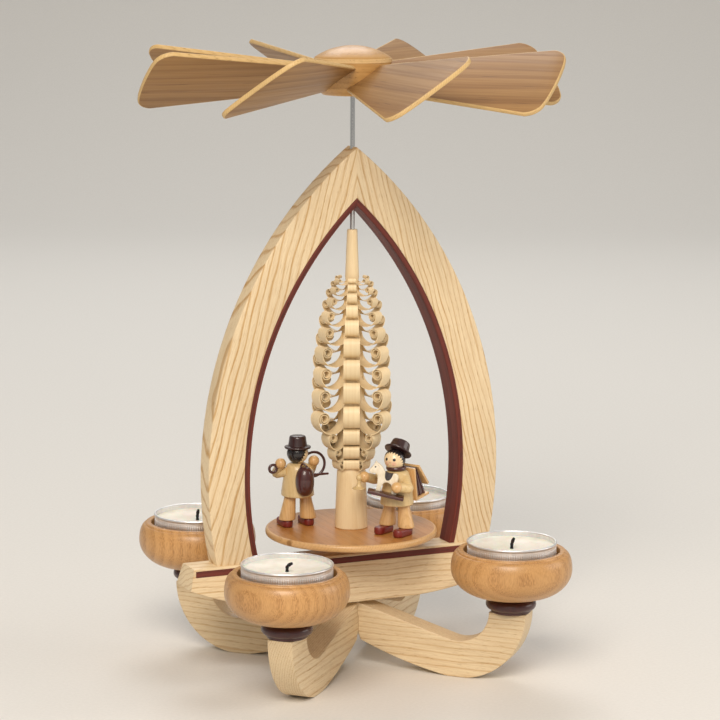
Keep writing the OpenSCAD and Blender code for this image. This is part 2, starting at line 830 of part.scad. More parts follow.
module pedlar_hat() color("maroon") at_pedlar() translate(pedlar_head) hat(5.8, 4.2, 5.6, 0, 0.5);

// Scarf of the seller: a ring on the shoulders, under the chin
scarf_r = 3.4;
scarf_wire = 1;

module seller_scarf() color("maroon") at_seller() difference() {
  translate([0.3, -0.3, shoulder_z + scarf_wire * 0.75]) rotate_extrude()
    translate([scarf_r, 0]) circle(scarf_wire, $fn = 32);
  coat(coat_z, fit);
  translate(seller_head) sphere(head_r + fit);
}

// Tray held out in front, one end lower: X away from the coat, Y along the tray
tray_place = [12, -1, arm_z - 5.4];
tray_yaw = 32;
tray_roll = -12;

module at_tray() { translate(tray_place) rotate(tray_yaw) rotate([tray_roll, 0, 0]) children(); }

module seller_tray() color("maroon") at_seller() difference() {
  at_tray() translate([-tray_w / 2, tray_right - tray_len, 0]) cube([tray_w, tray_len, tray_t]);
  coat(coat_z, fit);
  hands_room(seller_hands);
}

// Toy horse, side view: X forwards, Y up from the hooves
horse_outline = [
  [2.6, 0], [0.7, 0], [0.1, 3.4], [-1.1, 4.4], [-3.2, 4.2], [-4.4, 0], [-6.3, 0], [-5.9, 3.2], [-5.8, 7.6],
  [-4.1, 9], [-2.9, 8.3], [0.3, 8.9], [1.8, 10.6], [3.7, 11.8], [5, 12.5], [5.6, 10.8], [7, 8.4],
  [6.5, 7.2], [3.9, 7.2], [2.9, 5.4]];
horse_t = 2.2;
horse_place = [-1.2, 0.8];

// Hand bell of the seller: wide mouth, neck and knob
bell_out = 2.1;
bell_aside = 1.2;
bell_drop = 5;
bell_place = seller_hands[1] + [bell_out, -bell_aside, -bell_drop];
bell_lip_h = 0.6;
bell_flare_h = 1;
bell_neck_r = 0.8;
bell_neck_h = 2.6;
bell_mouth_r = 2.9;
bell_knob_r = 1.4;
bell_knob_z = 4.9;

module seller_toys() color("ivory") at_seller() difference() {
  union() {
    at_tray() translate([horse_place[0], horse_place[1], tray_t]) rotate([90, 0, -90])
      linear_extrude(horse_t, center = true) polygon(horse_outline);
    translate(bell_place) rotate_extrude() polygon(concat(
      [[0, 0], [bell_mouth_r, 0], [bell_mouth_r, bell_lip_h],
       [bell_knob_r, bell_flare_h], [bell_neck_r, bell_neck_h]],
      arc([0, bell_knob_z], bell_knob_r, -55, 80, 6),
      [[0, bell_knob_z + bell_knob_r]]));
  }
  coat(coat_z, fit);
  hands_room(seller_hands);
}

// Rack on the seller's back: board, shelf and slat, leaning with the coat. X points backwards
rack_lean = 8;
rack_t = 1;
rack_w = 10.6;
rack_h = 14.4;
rack_depth = 9.6;
slat_low = [9.2, 4.6];
slat_high = [3.2, 14.2];

module at_rack() {
  translate([-coat_r - 0.12, 0, coat_z + 0.7]) rotate([0, 0, 180]) rotate([0, -rack_lean, 0]) children();
}

module rack_slice(w) { translate([0, w / 2, 0]) rotate([90, 0, 0]) linear_extrude(w) children(); }

module seller_rack() color("tan") at_seller() difference() {
  at_rack() rack_slice(rack_w) {
    square([rack_t, rack_h]);
    square([rack_depth, rack_t]);
    polygon([slat_low, slat_low + [rack_t, rack_t * 0.6], slat_high + [rack_t, rack_t * 0.6], slat_high]);
  }
  coat(coat_z, fit);
}

module seller_goods() color("maroon") at_seller() at_rack() rack_slice(rack_w - 1.6)
  polygon([[rack_t, rack_t], [rack_depth, rack_t], slat_low, slat_high, [rack_t, rack_h]]);

// Pack of the pedlar: an oval turned body on the back
pack_h = 12.4;
pack_r = 4.1;
pack_place = [-8, 0, pedlar_coat_z + 1.4];

module pedlar_pack() color("maroon") at_pedlar() difference() {
  translate(pack_place) rotate_extrude() polygon(concat(
    [[0, 0]],
    [for (k = [0:10]) let (q = -75 + 15 * k)
      [pack_r * pow(cos(q), 0.7), pack_h / 2 * (1 + sin(q) / sin(75))]],
    [[0, pack_h]]));
  coat(pedlar_coat_z, fit);
}

// Hoop and hoop stick on the right arm of the pedlar, ring in the left hand
hoop_r = 5.4;
ring_r = 1.7;
wire_r = 0.6;
hoop_place = [2.5, -8.4, arm_z + 1.8];
ring_place = [0.4, 11.4, arm_z + 1.8];
stick_l = 8;
stick_place = [0.4, -6.8, arm_z - 2.4];

module wire_ring(r) {
  rotate([0, 90, 0]) rotate_extrude() translate([r, 0]) circle(wire_r, $fn = 24);
}

module pedlar_hoops() color("maroon") at_pedlar() difference() {
  union() {
    translate(hoop_place) wire_ring(hoop_r);
    translate(stick_place) rotate([90, 0, 0]) cylinder(r = wire_r, h = stick_l);
    translate(ring_place) wire_ring(ring_r);
  }
  hands_room(pedlar_hands);
  coat(pedlar_coat_z, fit);
  arms(pedlar_elbows, pedlar_hands, fit);
}

cross_board_a();
cross_board_b();
base_bar();
bar_strips();
base_screw();
arch_left();
arch_right();
liner_left();
liner_right();
arch_dowels();
guide_bush();
pivot_cup();
cup_collars();
cup_dowels();
for (i = [1:CUPS]) color("peru") at_cup(i) cup();
for (i = [1:CUPS]) color("silver") at_cup(i) tealight_shell();
for (i = [1:CUPS]) color("whitesmoke") at_cup(i) tealight_wax();
for (i = [1:CUPS]) color("dimgray") at_cup(i) tealight_wick(i);
pivot_needle();
spindle();
hub();
for (i = [1:blade_count]) color("sienna") at_blade(i) blade();
turntable();
tree();
figure_shoes();
figure_legs();
figure_hands();
figure_heads();
seller_coat();
seller_sleeves();
seller_scarf();
seller_hat();
seller_tray();
seller_toys();
seller_rack();
seller_goods();
pedlar_coat();
pedlar_sleeves();
pedlar_hat();
pedlar_pack();
pedlar_hoops();
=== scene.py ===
"""Dresses the christmas pyramid: turned, sawn and shaved wood, four tealights and two small figures.

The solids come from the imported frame. Every piece here is built in millimetres, placed in its mesh, and
rides on the body that carries it. The studio is a pale sweep with soft lamps and the photograph's camera.
"""

from __future__ import annotations

import logging
import random
from dataclasses import dataclass
from enum import Enum
from math import acos, asin, cos, degrees, exp, pi, radians, sin, sqrt, tan, tau
from typing import Any, Callable, Sequence

import bpy
from mathutils import Matrix, Vector

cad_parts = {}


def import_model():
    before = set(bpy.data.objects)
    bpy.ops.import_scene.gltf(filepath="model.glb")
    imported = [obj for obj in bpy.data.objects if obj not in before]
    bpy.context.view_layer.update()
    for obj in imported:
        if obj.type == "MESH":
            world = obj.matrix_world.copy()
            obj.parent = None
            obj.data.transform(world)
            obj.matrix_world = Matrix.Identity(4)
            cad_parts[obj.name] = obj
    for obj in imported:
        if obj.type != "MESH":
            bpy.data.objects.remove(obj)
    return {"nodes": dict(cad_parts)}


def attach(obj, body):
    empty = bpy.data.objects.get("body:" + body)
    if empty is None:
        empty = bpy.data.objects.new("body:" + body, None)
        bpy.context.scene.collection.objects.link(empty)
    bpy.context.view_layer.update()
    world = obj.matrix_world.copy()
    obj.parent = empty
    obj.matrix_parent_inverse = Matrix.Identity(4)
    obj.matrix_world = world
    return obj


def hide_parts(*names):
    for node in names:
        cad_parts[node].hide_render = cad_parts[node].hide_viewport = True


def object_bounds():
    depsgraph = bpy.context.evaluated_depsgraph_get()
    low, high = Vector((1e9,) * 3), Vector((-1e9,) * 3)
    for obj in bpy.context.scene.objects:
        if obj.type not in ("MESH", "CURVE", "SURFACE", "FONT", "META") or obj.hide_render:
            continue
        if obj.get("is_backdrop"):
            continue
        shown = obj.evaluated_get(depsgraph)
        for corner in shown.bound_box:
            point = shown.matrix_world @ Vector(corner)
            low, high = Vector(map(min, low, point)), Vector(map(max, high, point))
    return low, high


LOG = logging.getLogger("christmas_pyramid")
MM = 0.001
CREASE = 38.0
COPY_SPREAD = (61.0, 37.0, 230.0)
# Noises in a wood: width and length in millimetres, and detail
WANDER, RIPPLE, DRIFT = (38.0, 150.0, 2.0), (8.0, 24.0, 1.0), (26.0, 90.0, 2.0)
# Kinds of nodes that are often used
MATH, VECTOR, RANGE = "ShaderNodeMath", "ShaderNodeVectorMath", "ShaderNodeMapRange"
MIX, JOIN, ROTATE = "ShaderNodeMix", "ShaderNodeCombineXYZ", "ShaderNodeVectorRotate"
STORE, STORED = "GeometryNodeStoreNamedAttribute", "GeometryNodeInputNamedAttribute"
Material = bpy.types.Material
Socket = bpy.types.NodeSocket
Point = tuple[float, float, float]
Face = tuple[int, ...]
Profile = list[tuple[float, float]]
Finishes = dict[str, Material]


class Body(str, Enum):
    """Bodies of the frame that pieces ride on."""

    STAND = "stand"
    ROTOR = "rotor"


class Grain(Enum):
    """Where a wood's pattern takes its place from."""

    BLOCK = "the block it was sawn from"
    STRIP = "the piece's own grain attribute"


def linear(colour: str) -> tuple[float, float, float, float]:
    """Turns an sRGB hex colour to linear light.

    Args:
        colour: Six hex digits after a number sign.

    Returns:
        Red, green, blue and alpha.
    """
    parts = [int(colour[i:i + 2], 16) / 255 for i in (1, 3, 5)]
    red, green, blue = [p / 12.92 if p <= 0.04045 else ((p + 0.055) / 1.055) ** 2.4 for p in parts]
    return red, green, blue, 1.0


def turn(angle: float, axis: str = "Z") -> Matrix:
    """Gives a turn about one axis, in degrees."""
    return Matrix.Rotation(radians(angle), 4, axis)


def shift(x: float, y: float, z: float) -> Matrix:
    """Gives a move in millimetres."""
    return Matrix.Translation((x, y, z))


def arc(centre: tuple[float, float], radius: float, start: float, end: float, steps: int) -> Profile:
    """Gives points of an arc.

    Args:
        centre: Middle of the arc.
        radius: Its radius.
        start: First angle in degrees.
        end: Last angle in degrees.
        steps: Number of pieces.

    Returns:
        The points, both ends included.
    """
    angles = [radians(start + (end - start) * k / steps) for k in range(steps + 1)]
    return [(centre[0] + radius * cos(a), centre[1] + radius * sin(a)) for a in angles]


def flowing(points: Sequence[Sequence[float]], steps: int = 5) -> list[tuple[float, ...]]:
    """Draws a smooth line through points.

    Args:
        points: Points of two or three numbers.
        steps: Pieces between two points.

    Returns:
        The denser line, with the given points on it.
    """
    line = [Vector(tuple(p) + (0.0,) * (3 - len(p))) for p in points]
    size = len(points[0])
    out: list[tuple[float, ...]] = []
    for k in range(len(line) - 1):
        a, b = line[k], line[k + 1]
        before, after = line[max(k - 1, 0)], line[min(k + 2, len(line) - 1)]
        for s in range(steps):
            t = s / steps
            p = 0.5 * (2 * a + (b - before) * t + (2 * before - 5 * a + 4 * b - after) * t * t
                       + (3 * a - before - 3 * b + after) * t ** 3)
            out.append(tuple(p)[:size])
    out.append(tuple(line[-1])[:size])
    return out


def drawn_in(outline: Profile, depth: float) -> Profile:
    """Moves a closed outline inwards.

    Args:
        outline: Points, anticlockwise.
        depth: How far each edge moves.

    Returns:
        As many points, moved along their mitres.
    """
    out: Profile = []
    count = len(outline)
    for k in range(count):
        before, here, after = (Vector(outline[(k + d) % count]) for d in (-1, 0, 1))
        one, two = (here - before).normalized(), (after - here).normalized()
        left, right = Vector((-one.y, one.x)), Vector((-two.y, two.x))
        mitre = (left + right) / max(1 + left.dot(right), 0.35)
        moved = here + mitre * depth
        out.append((moved.x, moved.y))
    return out


def bands(count: int, rows: int, capped: bool = False) -> list[Face]:
    """Gives the faces between rings of points that follow one another.

    Args:
        count: Points in each ring.
        rows: Number of rings.
        capped: Whether a face closes each end.

    Returns:
        The faces, ring by ring, between the two caps if there are any.
    """
    sides = [(a + k, a + (k + 1) % count, a + count + (k + 1) % count, a + count + k)
             for a in range(0, (rows - 1) * count, count) for k in range(count)]
    if not capped:
        return sides
    last = (rows - 1) * count
    return [tuple(reversed(range(count))), *sides, tuple(range(last, last + count))]


def mount(piece: bpy.types.Object, body: str, slot: str, *nodes: str) -> None:
    """Sets a finished piece on its body.

    Args:
        piece: The piece, in place.
        body: Body that it rides on.
        slot: Not used.
        nodes: Nodes of the frame that it stands for.
    """
    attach(piece, body)
    if nodes:
        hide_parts(*nodes)
    LOG.info("%s: %d faces on %s", piece.name, len(piece.data.polygons), body)


class Shape:
    """Faces of one piece in millimetres, with a finish and a place in the grain for each."""

    def __init__(self) -> None:
        """Starts with no faces."""
        self.points: list[Vector] = []
        self.grain: list[Vector] = []
        self.faces: list[Face] = []
        self.finish: list[int] = []

    def add(self, points: Sequence[Sequence[float]], faces: Sequence[Face], finish: int | Sequence[int] = 0,
            place: Matrix | None = None, grain: Callable[[Vector], Vector] | None = None) -> Shape:
        """Adds points and faces.

        Args:
            points: Points before they are placed.
            faces: Corners of each face, counted in points.
            finish: Number of the finish, for all faces or for each.
            place: Move and turn of the points.
            grain: Gives a point's place in the grain from its unplaced point.

        Returns:
            The shape itself.
        """
        base = len(self.points)
        for point in points:
            flat = Vector(point)
            self.grain.append(grain(flat) if grain else flat)
            self.points.append(place @ flat if place else flat)
        self.faces += [tuple(base + k for k in face) for face in faces]
        self.finish += [finish] * len(faces) if isinstance(finish, int) else list(finish)
        return self

    def lathe(self, profile: Sequence[Sequence[float]], steps: int = 64,
              finish: int | Callable[[float], int] = 0, place: Matrix | None = None,
              closed: bool = False) -> Shape:
        """Turns a half section round Z.

        Args:
            profile: Radius and height of each point, from the bottom up on the outside.
            steps: Sides of the turned form.
            finish: Number of the finish, or what gives it from the height of a band of faces.
            place: Move and turn of the form.
            closed: Whether the profile runs round into itself.

        Returns:
            The shape itself.
        """
        points: list[Point] = []
        rows: list[list[int]] = []
        for radius, height in profile:
            if radius < 1e-6:
                rows.append([len(points)] * steps)
                points.append((0.0, 0.0, height))
                continue
            rows.append(list(range(len(points), len(points) + steps)))
            points += [(radius * cos(tau * k / steps), radius * sin(tau * k / steps), height)
                       for k in range(steps)]
        faces, numbers = [], []
        for low, high in zip(rows, rows[1:] + rows[:1] if closed else rows[1:]):
            middle = (points[low[0]][2] + points[high[0]][2]) / 2
            for k in range(steps):
                j = (k + 1) % steps
                corners = tuple(dict.fromkeys((low[k], low[j], high[j], high[k])))
                if len(corners) > 2:
                    faces.append(corners)
                    numbers.append(finish if isinstance(finish, int) else finish(middle))
        return self.add(points, faces, numbers, place)

    def slab(self, outline: Profile, low: float, high: float, ease: float = 0.4, finish: int = 0,
             rim: int | None = None, place: Matrix | None = None,
             grain: Callable[[Vector], Vector] | None = None) -> Shape:
        """Makes a board of an outline, with eased edges.

        Args:
            outline: Points in X and Y, anticlockwise.
            low: Height of the under face.
            high: Height of the upper face.
            ease: Radius of the edges.
            finish: Number of the finish of the faces.
            rim: Number of the finish round the edge.
            place: Move and turn of the board.
            grain: Gives a point's place in the grain.

        Returns:
            The shape itself.
        """
        rounds = [(0.0, 1.0), (0.12, 0.5), (0.5, 0.12), (1.0, 0.0)]
        rings = [(low + ease * up, ease * inward) for up, inward in rounds]
        rings += [(high - ease * up, ease * inward) for up, inward in reversed(rounds)]
        points = [(x, y, height) for height, inward in rings for x, y in drawn_in(outline, inward)]
        faces = bands(len(outline), len(rings), capped=True)
        edge = [finish if rim is None else rim] * (len(faces) - 2)
        return self.add(points, faces, [finish, *edge, finish], place, grain)

    def tube(self, path: Sequence[Sequence[float]], radii: Sequence[float], sides: int = 20,
             place: Matrix | None = None) -> Shape:
        """Runs a round section along a line, closed at both ends.

        Args:
            path: Points of the line.
            radii: Radius at each point.
            sides: Sides of the section.
            place: Move and turn of the tube.

        Returns:
            The shape itself.
        """
        line = [Vector(p) for p in path]
        points: list[Vector] = [line[0]]
        side = (line[1] - line[0]).normalized().orthogonal().normalized()
        for k, here in enumerate(line):
            ahead = (line[min(k + 1, len(line) - 1)] - line[max(k - 1, 0)]).normalized()
            side = (side - ahead * side.dot(ahead)).normalized()
            up = ahead.cross(side)
            for s in range(sides):
                angle = tau * s / sides
                points.append(here + radii[k] * (side * cos(angle) + up * sin(angle)))
        points.append(line[-1])
        last = len(points) - 1
        faces = [tuple(1 + i for i in face) for face in bands(sides, len(line))]
        for s in range(sides):
            t = (s + 1) % sides
            faces += [(0, 1 + t, 1 + s), (last, last - sides + s, last - sides + t)]
        return self.add(points, faces, 0, place)

    def piece(self, name: str, *finishes: Material, crease: float = CREASE) -> bpy.types.Object:
        """Makes the object.

        Args:
            name: Name of the piece.
            finishes: Materials in the order of their numbers.
            crease: Angle in degrees past which an edge stays sharp.

        Returns:
            The object, at the origin.
        """
        mesh = bpy.data.meshes.new(name)
        mesh.from_pydata([p * MM for p in self.points], [], self.faces)
        for finish in finishes:
            mesh.materials.append(finish)
        mesh.polygons.foreach_set("material_index", self.finish)
        grain = mesh.attributes.new("grain", "FLOAT_VECTOR", "POINT")
        grain.data.foreach_set("vector", [c for p in self.grain for c in p])
        mesh.validate()
        soften(mesh, crease)
        made = bpy.data.objects.new(name, mesh)
        bpy.context.scene.collection.objects.link(made)
        return made

    def mounted(self, name: str, finish: Material, body: str, slot: str, *nodes: str,
                crease: float = CREASE) -> None:
        """Makes a piece of one finish and sets it on its body.

        Args:
            name: Name of the piece.
            finish: Its material.
            body: Body that it rides on.
            slot: Handed on to mount, which does not use it.
            nodes: Nodes of the frame that it stands for.
            crease: Angle in degrees past which an edge stays sharp.
        """
        mount(self.piece(name, finish, crease=crease), body, slot, *nodes)


def soften(mesh: bpy.types.Mesh, crease: float) -> None:
    """Shades a mesh smooth up to an angle between its faces."""
    mesh.shade_smooth()
    mesh.set_sharp_from_angle(angle=radians(crease))


class Nodes:
    """A node tree that nodes are put into."""

    def __init__(self, tree: bpy.types.NodeTree) -> None:
        """Takes the tree, and empties it."""
        self.tree = tree
        tree.nodes.clear()

    def put(self, kind: str, *values: Any, **settings: Any) -> Any:
        """Adds a node with its settings and links.

        Args:
            kind: Type name of the node.
            values: Its inputs in order, or one dict of them by name or number. A socket is linked.
            settings: Properties of the node itself.

        Returns:
            The sockets that come out, by name or number.
        """
        node = self.tree.nodes.new(kind)
        for key, value in settings.items():
            setattr(node, key, value)
        inputs = values[0] if values and isinstance(values[0], dict) else dict(enumerate(values))
        for key, value in inputs.items():
            if isinstance(value, Socket):
                self.tree.links.new(value, node.inputs[key])
            else:
                node.inputs[key].default_value = value
        return node.outputs

    def spot(self, colour: Socket, tint: str, centre: Sequence[float], radius: float, core: float,
             show: float, kind: str = "LINEAR") -> Socket:
        """Paints a soft round spot at a place in the piece.

        Args:
            colour: Colour that it lies on.
            tint: Colour of the spot.
            centre: Its middle in millimetres.
            radius: Its radius in millimetres.
            core: Part of the radius inside which it is full.
            show: How far the full spot covers.
            kind: How it fades out.

        Returns:
            The colour with the spot.
        """
        coords, middle = self.put("ShaderNodeTexCoord")["Object"], tuple(c * MM for c in centre)
        away = self.put(VECTOR, coords, middle, operation="DISTANCE")["Value"]
        near = self.put(RANGE, away, radius * MM, radius * core * MM, 0.0, show, interpolation_type=kind)[0]
        return self.put(MIX, {0: near, 6: colour, 7: linear(tint)}, data_type="RGBA")[2]

    def shade(self, height: Socket, strength: float, depth_mm: float, inputs: dict[str, Any]) -> None:
        """Ends a material with its shader under a fine relief.

        Args:
            height: What the relief follows.
            strength: How far it shows.
            depth_mm: Its depth.
            inputs: Inputs of the shader.
        """
        bump = self.put("ShaderNodeBump", {"Strength": strength, "Distance": depth_mm * MM, "Height": height})
        shader = self.put("ShaderNodeBsdfPrincipled", {"Normal": bump[0], **inputs})
        self.put("ShaderNodeOutputMaterial", {"Surface": shader[0]})


def new_material(name: str) -> tuple[Material, Nodes]:
    """Starts a material without nodes.

    Args:
        name: Name of the material.

    Returns:
        The material, and its empty tree.
    """
    made = bpy.data.materials.new(name)
    made.use_nodes = True
    return made, Nodes(made.node_tree)


def new_group(name: str, inputs: dict[str, str], output: str) -> Nodes:
    """Starts a Geometry Nodes tree.

    Args:
        name: Name of the tree.
        inputs: Names of its inputs with their kinds.
        output: Name of the geometry that it gives.

    Returns:
        The tree, with its sockets and without nodes.
    """
    tree = bpy.data.node_groups.new(name, "GeometryNodeTree")
    for key, kind in inputs.items():
        tree.interface.new_socket(key, in_out="INPUT", socket_type=f"NodeSocket{kind}")
    tree.interface.new_socket(output, in_out="OUTPUT", socket_type="NodeSocketGeometry")
    return Nodes(tree)


@dataclass(frozen=True)
class Wood:
    """A wood and its surface: rings about a pith, fibres and pores along the grain.

    The pattern is worked out in space, so that long grain and end grain agree as on a sawn block.
    """

    name: str
    pale: str
    ring: str
    pore: str
    ring_mm: float = 3.0
    ring_show: float = 0.6
    ring_share: float = 0.85
    wander_mm: float = 5.0
    ripple_mm: float = 0.0
    pith_mm: tuple[float, float] = (70.0, 20.0)
    turn_deg: Point = (0.0, 0.0, 0.0)
    shift_mm: Point = (0.0, 0.0, 0.0)
    fibre_mm: tuple[float, float] = (0.7, 22.0)
    fibre_show: float = 0.25
    pore_mm: tuple[float, float] = (0.45, 5.0)
    pore_share: float = 0.34
    pore_show: float = 0.6
    rough: float = 0.44
    coat: float = 0.0
    coat_rough: float = 0.2
    relief_mm: float = 0.05
    grain: Grain = Grain.BLOCK
    knot_mm: tuple[float, float, float, float] | None = None

    def place(self, nodes: Nodes) -> Socket:
        """Gives the place of a point in the wood, in millimetres, with the grain along Z.

        Args:
            nodes: Tree of the material.

        Returns:
            The place, as a vector.
        """
        if self.grain is Grain.BLOCK:
            return nodes.put("ShaderNodeMapping", {
                "Vector": nodes.put("ShaderNodeTexCoord")["Object"], "Location": self.shift_mm,
                "Scale": (1 / MM,) * 3, "Rotation": tuple(radians(a) for a in self.turn_deg)})[0]
        along, copy = (nodes.put("ShaderNodeAttribute", attribute_name=name)["Vector"]
                       for name in ("grain", "copy"))
        apart = nodes.put(VECTOR, copy, COPY_SPREAD, operation="MULTIPLY")[0]
        return nodes.put(VECTOR, along, apart)[0]

    def material(self) -> Material:
        """Builds the material.

        Returns:
            The finished material.
        """
        made, nodes = new_material(self.name)
        put, place = nodes.put, self.place(nodes)

        def stretched(across: float, length: float, detail: float, rough: float = 0.5) -> Any:
            """Gives noise of a real width and length in the wood."""
            scaled = put(VECTOR, place, (1 / across, 1 / across, 1 / length), operation="MULTIPLY")[0]
            return put("ShaderNodeTexNoise", {"Vector": scaled, "Scale": 1.0, "Detail": detail,
                                              "Roughness": rough})

        # Year rings round the pith, bent by slow noise, each dark early and fading
        bent = put(VECTOR, stretched(*WANDER)["Color"], (-0.5, -0.5, -0.5))[0]
        bent = put(VECTOR, bent, (self.wander_mm,) * 3, place, operation="MULTIPLY_ADD")[0]
        if self.ripple_mm:
            ripple = stretched(*RIPPLE)["Color"]
            bent = put(VECTOR, ripple, (self.ripple_mm,) * 3, bent, operation="MULTIPLY_ADD")[0]
        flat = put(VECTOR, bent, (1.0, 1.0, 0.0), operation="MULTIPLY")[0]
        out = put(VECTOR, flat, (-self.pith_mm[0], -self.pith_mm[1], 0.0))[0]
        radius = put(VECTOR, out, operation="LENGTH")["Value"]
        rings = put(MATH, radius, self.ring_mm, operation="DIVIDE")[0]
        part, number = (put(MATH, rings, operation=kind)[0] for kind in ("FRACT", "FLOOR"))
        year = put("ShaderNodeTexWhiteNoise", {"W": number}, noise_dimensions="1D")["Value"]
        rise = put(RANGE, part, 0.0, 0.14, interpolation_type="SMOOTHSTEP")[0]
        fall = put(RANGE, part, 0.15, self.ring_share, 1.0, 0.0, interpolation_type="SMOOTHSTEP")[0]
        early = put(MATH, rise, fall, operation="MULTIPLY")[0]
        strength = put(RANGE, year, 0.0, 1.0, self.ring_show * 0.45, self.ring_show)[0]
        band = put(MATH, early, strength, operation="MULTIPLY")[0]
        # Fibres tint the wood, and pores lie as dark dashes, mostly in the early wood
        fibre = stretched(*self.fibre_mm, 4.0, 0.6)[0]
        streak = put(RANGE, fibre, 0.35, 0.7, 0.0, self.fibre_show)[0]
        tone = put(MATH, band, streak, use_clamp=True)[0]
        wood = put(MIX, {0: tone, 6: linear(self.pale), 7: linear(self.ring)}, data_type="RGBA")[2]
        edge = 0.72 - 0.3 * self.pore_share
        dash = stretched(*self.pore_mm, 1.0)[0]
        holes = put(RANGE, dash, edge, edge + 0.08, 0.0, self.pore_show)[0]
        likely = put(RANGE, early, 0.0, 1.0, 0.35)[0]
        pores = put(MATH, holes, likely, operation="MULTIPLY")[0]
        wood = put(MIX, {0: pores, 6: wood, 7: linear(self.pore)}, data_type="RGBA")[2]
        if self.knot_mm:
            wood = nodes.spot(wood, self.pore, self.knot_mm[:3], self.knot_mm[3], 0.55, 0.85)
        shade = put(RANGE, stretched(*DRIFT)[0], 0.3, 0.7, 0.9, 1.07)[0]
        wood = put(VECTOR, {0: wood, "Scale": shade}, operation="SCALE")[0]
        sheen = put(RANGE, fibre, 0.3, 0.7, self.rough - 0.06, self.rough + 0.08)[0]
        height = put(MATH, pores, -1.0, fibre, operation="MULTIPLY_ADD")[0]
        nodes.shade(height, 0.5, self.relief_mm, {
            "Base Color": wood, "Roughness": sheen, "IOR": 1.5, "Coat Weight": self.coat,
            "Coat Roughness": self.coat_rough})
        return made


@dataclass(frozen=True)
class Surface:
    """A surface without grain: metal, wax, char, paint or glass, with mottling and fine relief."""

    name: str
    base: str
    mottle: str
    mottle_mm: Point = (3.0, 3.0, 3.0)
    relief_mm: float = 0.02
    rough: tuple[float, float] = (0.3, 0.45)
    metallic: float = 0.0
    ior: float = 1.5
    subsurface: float = 0.0
    transmission: float = 0.0
    coat: float = 0.0
    spots: tuple[tuple[str, Point, float], ...] = ()

    def material(self) -> Material:
        """Builds the material.

        Returns:
            The finished material.
        """
        made, nodes = new_material(self.name)
        scaled = nodes.put("ShaderNodeMapping", {"Vector": nodes.put("ShaderNodeTexCoord")["Object"],
                                                 "Scale": tuple(1 / (s * MM) for s in self.mottle_mm)})
        cloud = nodes.put("ShaderNodeTexNoise", {"Vector": scaled[0], "Scale": 1.0, "Detail": 3.0})[0]
        share = nodes.put(RANGE, cloud, 0.35, 0.65)[0]
        colours = {6: linear(self.base), 7: linear(self.mottle)}
        colour = nodes.put(MIX, {0: share, **colours}, data_type="RGBA")[2]
        for tint, centre, radius in self.spots:
            colour = nodes.spot(colour, tint, centre, radius, 0.35, 0.8, "SMOOTHSTEP")
        gloss = nodes.put(RANGE, cloud, 0.3, 0.7, *self.rough)[0]
        nodes.shade(cloud, 0.4, self.relief_mm, {
            "Base Color": colour, "Roughness": gloss, "Metallic": self.metallic, "IOR": self.ior,
            "Subsurface Weight": self.subsurface, "Subsurface Scale": 0.002,
            "Transmission Weight": self.transmission, "Coat Weight": self.coat})
        return made


